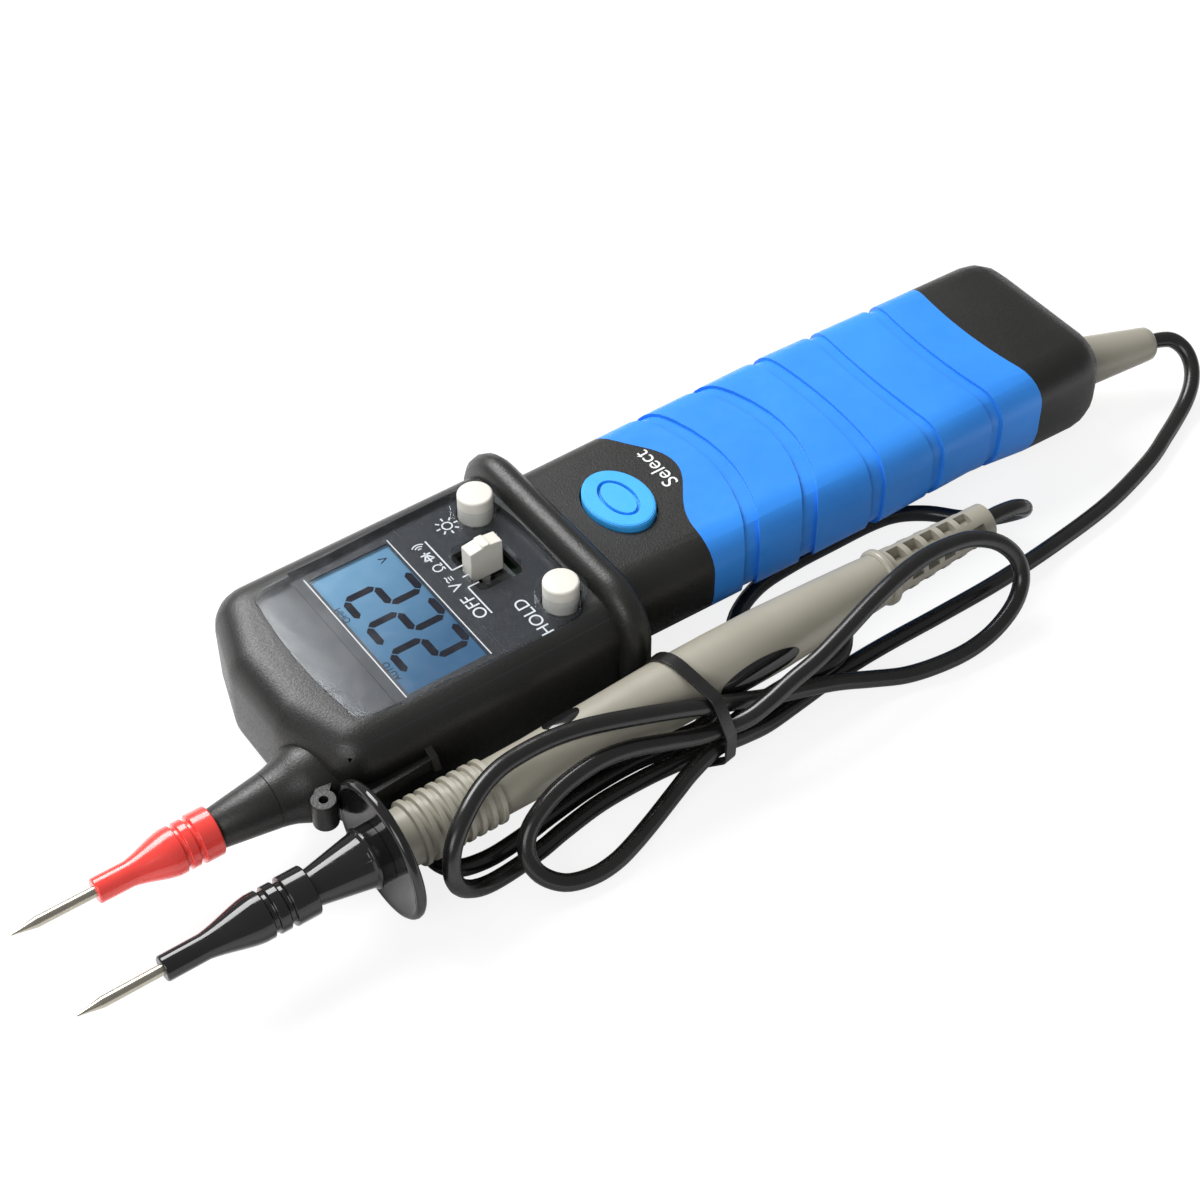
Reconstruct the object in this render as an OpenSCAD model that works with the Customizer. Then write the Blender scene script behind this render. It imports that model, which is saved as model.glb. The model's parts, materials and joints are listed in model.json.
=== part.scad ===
// Pen multimeter: a display head with a fixed red probe, a finger barrier, a ribbed grip, and a
// black probe on a lead that is bundled beside it.
// The red needle points to -X, the lead leaves at +X and the display faces +Z. The origin is on
// the surface that the meter lies on, under the middle of the finger barrier.

/* [Head] */
// Distance from the middle of the barrier to the front of the head
head_length = 64.8; // [62:0.2:68]
// Width of the head across its sides
head_width = 50.2; // [49:0.2:54]
// Height of the head's top face above the surface
head_top = 25.1; // [24.9:0.1:26]
// Gap under the head
head_base = 2; // [1.5:0.1:2.5]
// Radius of the head's front corners seen from above
head_corner = 8; // [7.5:0.1:9]
// Radius of the head's upper shoulders
head_shoulder = 6.5; // [5:0.1:7]
// Height of the parting plane between the upper and the lower case
seam_height = 12; // [11.5:0.1:12.5]
// Wall of the case
wall = 2.2; // [1.8:0.1:2.4]

/* [Barrier and handle] */
// Width of the finger barrier
barrier_width = 57; // [56:0.5:62]
// Height of the finger barrier
barrier_height = 29; // [28:0.5:31]
// Thickness of the finger barrier
barrier_thick = 6.2; // [5.6:0.1:6.8]
// Distance from the middle of the barrier to the rear face of the handle
handle_length = 123.5; // [122:0.5:130]
// Width of the handle at its widest
handle_width = 42.8; // [42:0.2:46]
// Height of the handle's top face at the neck
handle_top = 24.6; // [24.4:0.1:25.4]
// Thickness of the grip skins
grip_thick = 2; // [1.6:0.1:2.2]
// Depth of the bands across the grip
band_depth = 0.7; // [0.3:0.1:1]

/* [Display and keys] */
// Thickness of the lens
lens_thick = 1.5; // [1.2:0.1:1.8]
// Diameter of the two round buttons
button_diameter = 6.8; // [6:0.1:7]
// Distance of each round button from the middle plane
button_offset = 14; // [13.6:0.1:14.4]
// Height of the round buttons above the lens
button_rise = 3.9; // [3:0.1:5]
// Travel of every button
button_travel = 0.8; // [0.4:0.1:1]
// Length of the switch knob
knob_length = 7; // [6:0.1:7.2]
// Width of the switch knob
knob_width = 3.1; // [2.6:0.1:3.4]
// Height of the switch knob above the lens
knob_rise = 4.9; // [3:0.1:6]
// Distance between two positions of the switch
knob_step = 2.6; // [2.2:0.1:2.7]
// Length of the select button across the handle
select_across = 16.7; // [14:0.1:17]
// Length of the select button along the handle
select_along = 12.6; // [11:0.1:13]

/* [Probes] */
// Diameter of both needles
needle_diameter = 2; // [1.6:0.1:2.2]
// Bare length of both needles
needle_length = 15.4; // [12:0.2:20]
// Distance from the middle plane to the fixed probe
probe_offset = 15; // [14:0.2:15.4]
// Diameter of the disc that guards the fingers on the loose probe
guard_diameter = 26.6; // [24:0.1:26.8]
// Diameter of the lead
lead_diameter = 3.3; // [3:0.1:3.4]

/* [Hidden] */

case_colour = [0.15, 0.15, 0.15];
gloss_colour = [0.08, 0.08, 0.09];
grip_colour = [0.16, 0.45, 0.85];
select_colour = [0.25, 0.65, 0.96];
red_colour = [0.93, 0.25, 0.22];
grey_colour = [0.6, 0.58, 0.53];
ivory_colour = [0.93, 0.92, 0.87];
steel_colour = [0.75, 0.75, 0.76];
board_colour = [0.1, 0.35, 0.18];
lens_colour = [0.75, 0.8, 0.85, 0.4];
display_colour = [0.4, 0.6, 0.75];

// Overrun of every cut, and the size of the blocks that divide the part
over = 1;
reach = 300;
// Clearance between pieces that are seated in each other
seat_gap = 0.05;
// Clearance round every piece that slides
slide_gap = 0.4;
// Clearance above and below a sliding piece
stop_gap = 0.3;
// Steps of each rounded corner, and facets of a hull's round children
corner_steps = 6;
hull_facets = 32;
round_facets = 64;

// Outline of the head and the handle
head_low_corner = 5;
head_bow_corner = 8.5;
bow_offset = 7;
head_bow = 2.7;
handle_neck_width = 40.6;
handle_shoulder = 6.5;
handle_low_corner = 9;
handle_end_round = 7.5;
handle_end_drop = 1;
neck_base = 4.1;
mid_base = 3.8;
bay_base = 3.6;
rear_base = 0.5;
slice = 0.1;
mid_share = 0.52;
bay_share = 0.713;
rear_share = 0.843;
end_steps = 4;
end_top_share = 0.6;
end_low_share = 0.24;
barrier_corner = 11;
barrier_flat_depth = 0.4;

// Front and rear edges of the grip skins: a hump in front and a shallow bow behind
grip_front = 22;
grip_rear = 101.6;
front_hump = 8.2;
hump_middle = 3.5;
hump_width = 10;
hump_power = 2.2;
rear_bow = 2.2;
rear_bow_width = 20;
rear_bow_middle = 2;
// Bands across the grip: where each one starts on the middle line, how far its ends lie
// forward of that, and its width
band_places = [35.8, 50.5, 62, 74, 88.8];
band_drops = [6.1, 7, 2.2, -1, -1.7];
band_widths = [3.5, 3.7, 3.5, 3, 3];
band_half = 20.5;
band_middle = 1;
plan_half = 26;
plan_steps = 40;
band_steps = 12;

// Lens outline
lens_front = 53.4;
lens_bow = 3.2;
lens_half_front = 18.6;
lens_half_rear = 20.2;
lens_widest = 40;
lens_rear_side = 9.5;
lens_rear_share = 0.7;
lens_rear_round = 0.85;
lens_corner = 3.4;
lens_edge_gap = 0.3;
lens_ledge = 2;
panel_thick = 1.5;
collar_wall = 1.1;
collar_rise = 1.9;
button_gap = 0.35;
button_x = -8.2;
button_round = 0.5;
flange_wide = 0.5;
flange_thick = 0.8;
stem_radius = 1.4;
stem_length = 1.9;
neck_room_end = 23;
knob_x = -14.7;
knob_y = 1.8;
knob_stem = 2;
knob_stem_length = 2.6;
knob_ridge = 0.8;
knob_grip_drop = 0.7;
slot_front_gap = 0.45;
slot_rear_gap = 2.1;
slot_side_gap = 1.45;
slot_corner = 1.4;
slot_rim = 0.7;
slot_rim_rise = 0.35;

// Display stack, from the board up
board_thick = 1.6;
board_top = 17.6;
board_gap = 1;
board_neck_half = 11;
display_x = -34.4;
display_along = 20;
display_across = 36.6;
window_along = 16.7;
window_across = 34;
glass_thick = 2;
light_thick = 3.4;
strip_width = 1.6;
frame_wall = 1.2;
window_edge = 1.4;
window_lip_thick = 0.3;
key_size = 6;
key_height = 1.8;
well_gap = 0.35;
well_floor = 0.3;
switch_margin = 0.8;
switch_along = 9;
switch_across = 14.6;
buzzer_radius = 6;
buzzer_height = 3;
buzzer_x = -27;

// Select button
select_x = 14.7;
select_rise = 1.3;
select_groove_across = 10.6;
select_groove_along = 6.6;
select_groove_width = 0.7;
select_groove_depth = 0.9;
oval_steps = 48;

// Fixed probe
probe_height = 12.4;
socket_radius = 6.1;
socket_flare = 1.2;
socket_depth = 2.5;
barrel_seat = 64.6;
barrel_length = 17.2;
barrel_root_radius = 5.4;
barrel_tip_radius = 3.6;
barrel_ring = 0.5;
barrel_spigot = 6;
barrel_spigot_radius = 4;
cap_length = 22.7;
cap_front_radius = 2.35;
cap_shoulder_radius = 4.75;
cap_end_radius = 3.85;
cap_front_share = 0.26;
cap_shoulder_share = 0.58;
cap_ring_shares = [0.58, 0.72, 0.83];
cap_ring_radii = [4.75, 4.55, 4.35];
cap_ring_length = 1;
cap_groove_depth = 0.75;
cone_steps = 8;
needle_point = 4;
needle_point_radii = [0, 0.5, 0.5, 0.75, 0.75];
needle_point_places = [0, 2.4, 2.9, 3.1, 4];
needle_step = 0.6;
needle_gap = 0.025;

// Clip for a probe on the side of the head
holder_front = 58.9;
holder_rear = 43.5;
holder_reach = 28.2;
holder_root = 22.5;
holder_low = 14.8;
holder_thick = 2.6;
holder_rail = 1.1;
holder_groove_depth = 1.2;
holder_lug_x = -64.95;
holder_lug_y = -25.2;
holder_lug_radius = 2.65;
holder_lug_drop = 3.4;
holder_neck = [[-62.35, -25.2], [-62.35, -21.8], [-60.4, -20], [-61.5, -19.5], [-64.4, -20.9], [-66.5, -23]];
holder_hole_radius = 0.9;
holder_fin_rise = 2.6;
holder_fin_thick = 1.4;
pry_radius = 6;
pry_height = 0.9;
pry_depth = 1.1;
pry_place = 12.3;

// Battery bay
cell_diameter = 10.5;
cell_length = 44.5;
cell_pole_radius = 2;
cell_pole_length = 0.8;
cell_gap = 0.6;
bay_front = 46;
bay_end_gap = 3;
cover_edge = 2.6;
cover_gap = 0.25;
cover_rear_tab = 6.2;
cover_block_low = 4.9;
cover_cradle = 4.4;
cover_top = 6;
cover_screw_low = 2.1;
cover_screw_length = 7;
cell_height = 11.3;
bay_room = 0.3;
contact_thick = 0.4;
contact_size = 8.6;
spring_radius = 3;
screw_head_radius = 2.2;
screw_head_height = 1;
screw_head_gap = 0.2;
screw_shank_radius = 1.25;
screw_slot_width = 0.7;
screw_slot_depth = 0.6;
screw_tip = 20.5;
boss_radius = 3.2;
screw_places_x = [-54, -54, -17, -17, 32, 32];
screw_places_y = [14.5, -14.5, 18.8, -18.8, 12.5, -12.5];
screw_lows = [2, 2, 2, 2, 6.1, 6.1];
boss_lows = [3.1, 3.1, 3.1, 3.1, 7.3, 7.3];
head_room_rear = 3.6;
rear_room_drop = 1;
side_room = 0.25;

// Strain relief of the meter
relief_y = -7.8;
relief_height = 10;
relief_turn = -8.4;
relief_length = 21;
relief_root_radius = 5.3;
relief_tip_radius = 3.5;
relief_tip_round = 1.1;
relief_flange_radius = 6.6;
relief_flange_thick = 1.6;
relief_inset = 4.4;
relief_bore_length = 17.6;

// Loose probe, measured from the middle of its guard disc
loose_x = -60.3;
loose_y = -36.1;
loose_turn = -0.1;
loose_dip = -0.4;
loose_lift = 0.03;
loose_cap_length = 27.8;
loose_shaft_rear = 3.6;
loose_shaft_front = 14.9;
loose_shaft_tip_radius = 3.35;
loose_shaft_root_radius = 5.2;
loose_collar_radius = 5.75;
guard_thick = 2;
guard_dish = 0.5;
guard_hub = 1.1;
sleeve_front = 1.8;
sleeve_rear = 22.3;
sleeve_neck_radius = 5.4;
sleeve_ring_radius = 6.2;
sleeve_ring_count = 8;
sleeve_ring_pitch = 2.2;
sleeve_ring_width = 1.35;
sleeve_ring_edge = 0.2;
sleeve_first_ring = 4.9;
barrel_rear = 108.7;
barrel_wall_bore = 2.4;
barrel_profile_shares = [0, 0.1, 0.25, 0.42, 0.56, 0.7, 0.85, 0.96, 1];
barrel_radius_shares = [0.82, 0.83, 0.91, 0.99, 1, 0.98, 0.89, 0.81, 0.77];
barrel_radius = 6.5;
barrel_reach = 30;
inlay_proud = 0.2;
inlay_depth = 0.9;
inlay_lengths = [11, 17];
inlay_widths = [5.2, 4.6];
inlay_places = [39.5, 76];
inlay_angles = [32, 158];
collar_length = 2;
collar_radius = 5.7;
loose_relief_length = 29.3;
loose_relief_root = 4.8;
loose_relief_tip = 3.3;
relief_window = 2.3;
relief_window_pitch = 4.5;
relief_window_count = 6;
relief_first_window = 3;

// Tie round the lead and the loose probe
tie_x = 1.6;
tie_y = -38;
tie_turn = 10;
tie_width = 2.6;
tie_thick = 0.5;
tie_gap = 0.3;
tie_barrel = [1.8, 13.75];
tie_strands = [[-6.8, 17], [-9.7, 11.6], [-9.7, 6.5], [-5.9, 2.5], [-0.8, 2.5]];

// Route of the lead, from the meter's strain relief to the loose probe's
cord_sides = 8;
cord_route = [[143.3, -11.4, 10], [146.6, -11.9, 10], [150, -13.6, 9.2], [151.2, -17.2, 7.6],
    [149.6, -21.2, 5.4], [146, -24.6, 3.4], [141, -27.2, 2.2], [134, -30, 1.9], [124, -34.2, 1.9],
    [109.5, -38.2, 1.9], [94, -40.4, 1.9], [77, -41.8, 1.9], [61, -42, 1.9], [46, -41.9, 1.9],
    [35, -42.4, 1.9], [25, -43.6, 1.9], [16, -45, 2.6], [9, -46.2, 5], [3, -46.8, 6.8],
    [-3, -47.4, 4.8], [-8, -48.5, 2.8], [-14, -50.6, 2], [-20, -52.8, 1.9], [-25, -54.2, 1.9],
    [-30, -54.4, 1.9], [-35, -53.2, 2.6], [-38.4, -50.6, 4.8], [-39.2, -48, 8], [-37.4, -46, 11.4],
    [-33, -44.7, 14.2], [-28, -44.1, 16], [-21.5, -44, 17], [-15, -44.4, 16.2], [-8, -45.4, 14.2],
    [-2, -46.2, 12.2], [3, -46.9, 11.6], [8, -48.4, 12.6], [12.6, -48.6, 14], [18.6, -47.9, 15.4],
    [25, -47.4, 16.8], [32, -46, 18.2], [39.7, -44.2, 19.6], [46.7, -42.9, 20.7],
    [54.3, -41.8, 20.9], [61, -41.6, 20.3], [67, -42, 18.8], [72.4, -43.4, 15.8],
    [75.6, -45.6, 11.8], [75.4, -48, 8], [72, -50.2, 5], [66, -51.8, 3], [59.5, -52.3, 2],
    [52.4, -51.8, 1.9], [45.4, -50.2, 1.9], [38.5, -48.2, 3.4], [31.6, -46.4, 5.4],
    [24.4, -45.2, 7.2], [16.2, -44.6, 9.4], [9.4, -44.6, 12.6], [3, -44.8, 16.2],
    [-3.2, -43.8, 18.4], [-10.8, -42.2, 20.2], [-17.4, -40.6, 21.3], [-23, -39.3, 21.8],
    [-28.5, -38.4, 21.8], [-33.8, -38.2, 21.6], [-38.6, -38.8, 21.6], [-43.4, -40.4, 21.2],
    [-48, -42.6, 19.6], [-51.6, -44.6, 16.8], [-53.2, -46, 12.6], [-52.6, -46.4, 8.2],
    [-50, -46, 4.6], [-46, -45.6, 2.4], [-40.5, -45.2, 1.9], [-34, -44.4, 1.9], [-28, -43.2, 1.9],
    [-19, -41.9, 1.9], [-9, -42.2, 2.4], [3, -43.4, 3], [10, -42.2, 3.8], [17, -41.4, 4.6],
    [24.5, -41.4, 5.2], [30.5, -41.2, 5.6], [35.4, -39.4, 5.6], [38, -35.4, 5.6],
    [36.8, -31.2, 5.6], [33, -28.6, 5.6], [28, -28.6, 5.6], [22, -31, 5.6], [16, -34.2, 5.3],
    [10, -37.8, 5.5], [3, -41.2, 6.4], [-7, -38.9, 5.9], [-17, -36.2, 5.6], [-26, -33.6, 5.5],
    [-33, -31.2, 5], [-39, -29.8, 4.2], [-44.4, -30.6, 3], [-47.2, -34, 2.2], [-46, -38.2, 1.9],
    [-41.4, -40.6, 1.9], [-35.5, -40.2, 1.9], [-28, -39, 1.9], [-19, -37.9, 1.9], [-9, -37.7, 1.9],
    [3, -39.2, 2.5], [10, -35.8, 1.8], [17, -31, 1.9], [23, -25.4, 1.9], [29, -19.4, 1.9],
    [37, -15.8, 1.9], [46, -14.8, 1.9], [56, -14.8, 1.9], [66, -15, 1.9], [75, -16.8, 1.9],
    [81, -21.4, 1.9], [85.4, -27.2, 2.6], [88.8, -32, 5], [89.6, -34.8, 8.6], [87.6, -35.8, 12],
    [83.7, -36.35, 14.34], [79.72, -36.34, 14.31]];

// Round-cornered shapes
function arc(x, y, r, from, to, steps) =
    [for (i = [0:steps]) let (a = from + (to - from) * i / steps) [x + r * cos(a), y + r * sin(a)]];

function section_points(half, low, top, shoulder, low_corner) = concat(
    arc(half - shoulder, top - shoulder, shoulder, 0, 90, corner_steps),
    arc(shoulder - half, top - shoulder, shoulder, 90, 180, corner_steps),
    arc(low_corner - half, low + low_corner, low_corner, 180, 270, corner_steps),
    arc(half - low_corner, low + low_corner, low_corner, 270, 360, corner_steps));

function oval_points(along, across) =
    [for (i = [0:oval_steps - 1]) let (a = 360 * i / oval_steps) [along / 2 * cos(a), across / 2 * sin(a)]];

function round_box_points(along, across, r) = concat(
    arc(along / 2 - r, across / 2 - r, r, 0, 90, corner_steps),
    arc(r - along / 2, across / 2 - r, r, 90, 180, corner_steps),
    arc(r - along / 2, r - across / 2, r, 180, 270, corner_steps),
    arc(along / 2 - r, r - across / 2, r, 270, 360, corner_steps));

// A block whose lower corner and upper corner are given
module block(low, high)
    translate(low)
        cube([high[0] - low[0], high[1] - low[1], high[2] - low[2]]);

// A slab of a cross-section that looks along the handle
module section_slab(x, points)
    translate([x, 0, 0])
        rotate([90, 0, 90])
            linear_extrude(slice)
                polygon(points);

// Turns a shape that was revolved about +Z so that its axis is +X
module lay_along()
    rotate([0, 90, 0])
        children();

module above_seam()
    block([-reach, -reach, seam_height], [reach, reach, reach]);

module below_seam()
    block([-reach, -reach, -reach], [reach, reach, seam_height]);

module above_surface()
    block([-reach, -reach, 0], [reach, reach, reach]);

// One rounded corner post of the head
module head_post(x, y, r) {
    low = head_base;
    top = head_top;
    translate([x, y, 0])
        rotate_extrude($fn = hull_facets)
            polygon(concat([[0, low]],
                arc(r - head_low_corner, low + head_low_corner, head_low_corner, 270, 360, corner_steps),
                arc(r - head_shoulder, top - head_shoulder, head_shoulder, 0, 90, corner_steps),
                [[0, top]]));
}

module head_form() {
    corner_x = -head_length + head_bow_corner + head_bow;
    corner_y = head_width / 2 - head_corner;
    hull() {
        for (side = [-1, 1]) {
            head_post(corner_x, side * corner_y, head_corner);
            head_post(-head_length + head_bow_corner, side * bow_offset, head_bow_corner);
        }
        section_slab(-slice, section_points(head_width / 2, head_base, head_top,
            head_shoulder, head_low_corner));
    }
}

// Rounded wall that keeps the fingers back, cut flat where it stands
module barrier_form() {
    round = barrier_thick / 2;
    top_y = barrier_width / 2 - barrier_corner;
    low_z = barrier_corner - barrier_flat_depth;
    high_z = barrier_height - barrier_corner;
    intersection() {
        hull()
            for (y = [-top_y, top_y], z = [low_z, high_z])
                translate([0, y, z])
                    lay_along()
                        rotate_extrude($fn = hull_facets)
                            polygon(concat([[0, -round]],
                                arc(barrier_corner - round, 0, round, -90, 90, corner_steps),
                                [[0, round]]));
        above_surface();
    }
}

// Handle from the barrier to its rounded rear end, made smaller all round by inset
module handle_form(inset) {
    half = handle_width / 2 - inset;
    neck = handle_neck_width / 2 - inset;
    bay_half_width = (handle_width + handle_neck_width) / 4 - inset;
    shoulder = handle_shoulder - inset;
    low_corner = handle_low_corner - inset;
    bay_x = handle_length * bay_share;
    rear_top = handle_top - handle_end_drop;
    bay_top = rear_top + handle_end_drop / 4;
    round = handle_end_round;
    bay_points = section_points(bay_half_width, bay_base + inset, bay_top - inset, shoulder, low_corner);
    hull() {
        section_slab(0, section_points(neck, neck_base + inset, handle_top - inset, shoulder, low_corner));
        section_slab(handle_length * mid_share, section_points(half, mid_base + inset,
            handle_top - handle_end_drop / 2 - inset, shoulder, low_corner));
        section_slab(bay_x, bay_points);
    }
    hull() {
        section_slab(bay_x, bay_points);
        section_slab(handle_length * rear_share, section_points(neck, rear_base + inset,
            rear_top - inset, shoulder, low_corner));
        for (step = [0:end_steps])
            let (a = 90 * step / end_steps, drawn = round * (1 - cos(a)))
                section_slab(handle_length - round * (1 - sin(a)) - slice - inset,
                    section_points(neck - drawn * end_top_share, drawn * end_low_share + inset,
                        rear_top - drawn * end_top_share - inset, shoulder, low_corner));
    }
}

// Plan of the grip skins: straight sides with a waved front edge and a bowed rear edge
function grip_front_x(y) = grip_front + front_hump * exp(-pow(abs(y - hump_middle) / hump_width, hump_power));

function grip_rear_x(y) = grip_rear + rear_bow * pow((y - rear_bow_middle) / rear_bow_width, 2);

module grip_plan()
    translate([0, 0, -reach])
        linear_extrude(2 * reach)
            polygon(concat(
                [for (i = [0:plan_steps]) let (y = plan_half * (2 * i / plan_steps - 1)) [grip_front_x(y), y]],
                [for (i = [0:plan_steps]) let (y = plan_half * (1 - 2 * i / plan_steps)) [grip_rear_x(y), y]]));

// Front edge of each band that dips into the grip
function band_x(k, y) = band_places[k] - band_drops[k] * pow((y - band_middle) / band_half, 2);

module band_plan(k)
    translate([0, 0, -reach])
        linear_extrude(2 * reach)
            polygon(concat(
                [for (i = [0:band_steps]) let (y = plan_half * (2 * i / band_steps - 1)) [band_x(k, y), y]],
                [for (i = [0:band_steps]) let (y = plan_half * (1 - 2 * i / band_steps))
                    [band_x(k, y) + band_widths[k], y]]));

module grip_skin()
    difference() {
        intersection() {
            handle_form(0);
            grip_plan();
        }
        handle_form(grip_thick);
        difference() {
            for (k = [0:len(band_places) - 1])
                band_plan(k);
            handle_form(band_depth);
        }
    }

// Space in the case for the skins
module grip_room()
    difference() {
        grip_plan();
        handle_form(grip_thick);
    }

// Outline of the lens, drawn smaller all round by inset
function lens_side_y(x) =
    lens_half_front + (lens_half_rear - lens_half_front) * sin(90 * (x + lens_front) / lens_widest);

function lens_points(inset) =
    let (front = -lens_front + lens_bow + inset,
        rear = -barrier_thick / 2 - lens_edge_gap - inset,
        side_x = -lens_rear_side - inset,
        bow = lens_bow,
        half_f = lens_half_front - lens_corner,
        r = lens_corner,
        rear_half = lens_half_rear - lens_corner - inset)
    concat(
        [for (i = [0:8]) let (t = -1 + i / 4) [front - bow * (1 - t * t), t * (half_f - inset)]],
        arc(front + r, half_f - inset, r, 180, 100, corner_steps),
        [for (i = [1:7]) let (x = front + r + (side_x - front - r) * i / 8) [x, lens_side_y(x) - inset]],
        arc(side_x, rear_half, r, 90, 20, corner_steps),
        [for (i = [1:7]) let (t = 1 - i / 4)
            [rear - (rear - side_x - r) * lens_rear_share * t * t, t * (rear_half + lens_rear_round)]],
        arc(side_x, -rear_half, r, -20, -90, corner_steps),
        [for (i = [7:-1:1]) let (x = front + r + (side_x - front - r) * i / 8) [x, inset - lens_side_y(x)]],
        arc(front + r, inset - half_f, r, 260, 180, corner_steps));

module lens_plan(inset, height)
    linear_extrude(height)
        polygon(lens_points(inset));

button_radius = button_diameter / 2;
panel_top = head_top - lens_thick;
panel_low = panel_top - panel_thick;
slot_along = knob_length + slot_front_gap + slot_rear_gap;
slot_across = knob_width + 2 * knob_step + 2 * slot_side_gap;
slot_x = knob_x + (slot_rear_gap - slot_front_gap) / 2;
switch_top = panel_low - stop_gap;
flange_top = panel_low - stop_gap;
flange_low = flange_top - flange_thick;
key_top = board_top + key_height;
stem_low = flange_low - stem_length;

module slot_cut(extra, low, high)
    translate([slot_x, knob_y, low])
        linear_extrude(high - low)
            polygon(round_box_points(slot_along + 2 * extra, slot_across + 2 * extra, slot_corner + extra));

// Places of the two round buttons
module at_buttons()
    for (side = [-1, 1])
        translate([button_x, side * button_offset, 0])
            children();

module select_oval(extra, low, high)
    translate([select_x, 0, low])
        linear_extrude(high - low)
            polygon(oval_points(select_along + 2 * extra, select_across + 2 * extra));

frame_along = display_along + 2 * frame_wall;
frame_across = display_across + 2 * frame_wall;
glass_top = board_top + light_thick + glass_thick;

// Hollow of both case halves
module case_room() {
    side = head_width / 2 - wall - side_room;
    front = -head_length + wall + head_bow_corner / 2;
    half = handle_neck_width / 2 - grip_thick - wall;
    roof = handle_top - grip_thick - wall;
    block([front, -side, head_base + wall], [-head_room_rear, side, panel_low]);
    block([-head_room_rear - over, -half, neck_base + grip_thick + wall], [bay_front - wall, half, roof]);
    block([bay_front - over - wall, -half, seam_height + wall], [grip_rear, half, roof - rear_room_drop]);
    block([barrier_thick, -board_neck_half, board_top], [neck_room_end, board_neck_half, panel_low]);
}

bay_rear = bay_front + cell_length + cell_pole_length + bay_end_gap;
cell_y = (cell_diameter + cell_gap) / 2;
bay_half = cell_diameter + cell_gap;

module battery_room()
    block([bay_front, -bay_half, -over], [bay_rear, bay_half, cell_height + cell_diameter / 2 + bay_room]);

// Plan of the battery cover, made larger all round by extra
module cover_plan(extra)
    block([bay_front - cover_edge - extra, -bay_half - cover_edge - extra, -over],
        [bay_rear + cover_rear_tab + extra, bay_half + cover_edge + extra, cover_top]);

cover_screw_x = bay_rear + cover_rear_tab / 2;
board_low = board_top - board_thick;

// Columns that the case screws pull together, from the floor or from the roof
module low_bosses()
    for (i = [0:len(screw_places_x) - 1])
        translate([screw_places_x[i], screw_places_y[i], boss_lows[i]])
            cylinder(r = boss_radius, h = board_low - boss_lows[i], $fn = round_facets);

module high_bosses()
    for (i = [0:len(screw_places_x) - 1])
        translate([screw_places_x[i], screw_places_y[i], board_top])
            cylinder(r = boss_radius, h = head_top, $fn = round_facets);

module screw_hole(low, tip) {
    translate([0, 0, -over])
        cylinder(r = screw_head_radius + screw_head_gap, h = low + over + screw_head_height, $fn = round_facets);
    translate([0, 0, low])
        cylinder(r = screw_shank_radius + seat_gap, h = tip - low, $fn = round_facets);
}

module screw_holes()
    for (i = [0:len(screw_places_x) - 1])
        translate([screw_places_x[i], screw_places_y[i], 0])
            screw_hole(screw_lows[i], screw_tip);

module cover_screw_hole()
    translate([cover_screw_x, 0, 0])
        screw_hole(cover_screw_low, cover_screw_low + cover_screw_length);

// Flared socket that the fixed probe's barrel stands in
module probe_socket()
    translate([-barrel_seat, -probe_offset, probe_height])
        lay_along()
            rotate_extrude($fn = round_facets)
                polygon(concat([[0, 0]],
                    [for (i = [0:corner_steps]) let (a = 90 * i / corner_steps)
                        [socket_radius + socket_flare * (1 - cos(a)), socket_depth * sin(a)]],
                    [[0, socket_depth]]));

module probe_socket_bore()
    translate([-barrel_seat - over, -probe_offset, probe_height])
        lay_along()
            cylinder(r = barrel_spigot_radius + seat_gap, h = barrel_spigot + over + seat_gap, $fn = round_facets);

module pry_slot()
    translate([-head_length - pry_radius + pry_depth, pry_place, seam_height])
        cylinder(r = pry_radius, h = pry_height, $fn = round_facets);

// Frame of the meter's strain relief: its axis leaves the rear face and turns to -Y
module at_relief()
    translate([handle_length - relief_inset, relief_y, relief_height])
        rotate([0, 0, relief_turn])
            lay_along()
                children();

module relief_hole() {
    at_relief()
        cylinder(r = relief_root_radius + seat_gap, h = relief_length, $fn = round_facets);
    at_relief()
        translate([0, 0, -relief_flange_thick - seat_gap])
            cylinder(r = relief_flange_radius + seat_gap, h = relief_flange_thick + 2 * seat_gap,
                $fn = round_facets);
    at_relief()
        translate([0, 0, -relief_bore_length])
            cylinder(r = lead_diameter / 2 + slide_gap, h = relief_bore_length, $fn = round_facets);
}

module case_form()
    difference() {
        union() {
            head_form();
            barrier_form();
            difference() {
                handle_form(0);
                grip_room();
            }
            probe_socket();
        }
        probe_socket_bore();
        relief_hole();
        pry_slot();
    }

module upper_case()
    color(case_colour)
        difference() {
            intersection() {
                case_form();
                above_seam();
            }
            difference() {
                case_room();
                high_bosses();
            }
            battery_room();
            screw_holes();
            translate([0, 0, panel_top])
                lens_plan(0, reach);
            slot_cut(-seat_gap, panel_low - over, reach);
            at_buttons()
                translate([0, 0, panel_low - over])
                    cylinder(r = button_radius + button_gap, h = reach, $fn = round_facets);
            block([display_x - frame_along / 2 - seat_gap, -frame_across / 2 - seat_gap, board_top],
                [display_x + frame_along / 2 + seat_gap, frame_across / 2 + seat_gap, head_top]);
            select_oval(button_gap, board_top, reach);
        }

module lower_case()
    color(case_colour)
        difference() {
            union() {
                difference() {
                    intersection() {
                        case_form();
                        below_seam();
                    }
                    case_room();
                    battery_room();
                }
                low_bosses();
            }
            screw_holes();
            cover_screw_hole();
        }

module grip_upper()
    color(grip_colour)
        intersection() {
            grip_skin();
            above_seam();
        }

module grip_lower()
    color(grip_colour)
        difference() {
            intersection() {
                grip_skin();
                below_seam();
            }
            cover_plan(cover_gap);
            screw_holes();
        }

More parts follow.
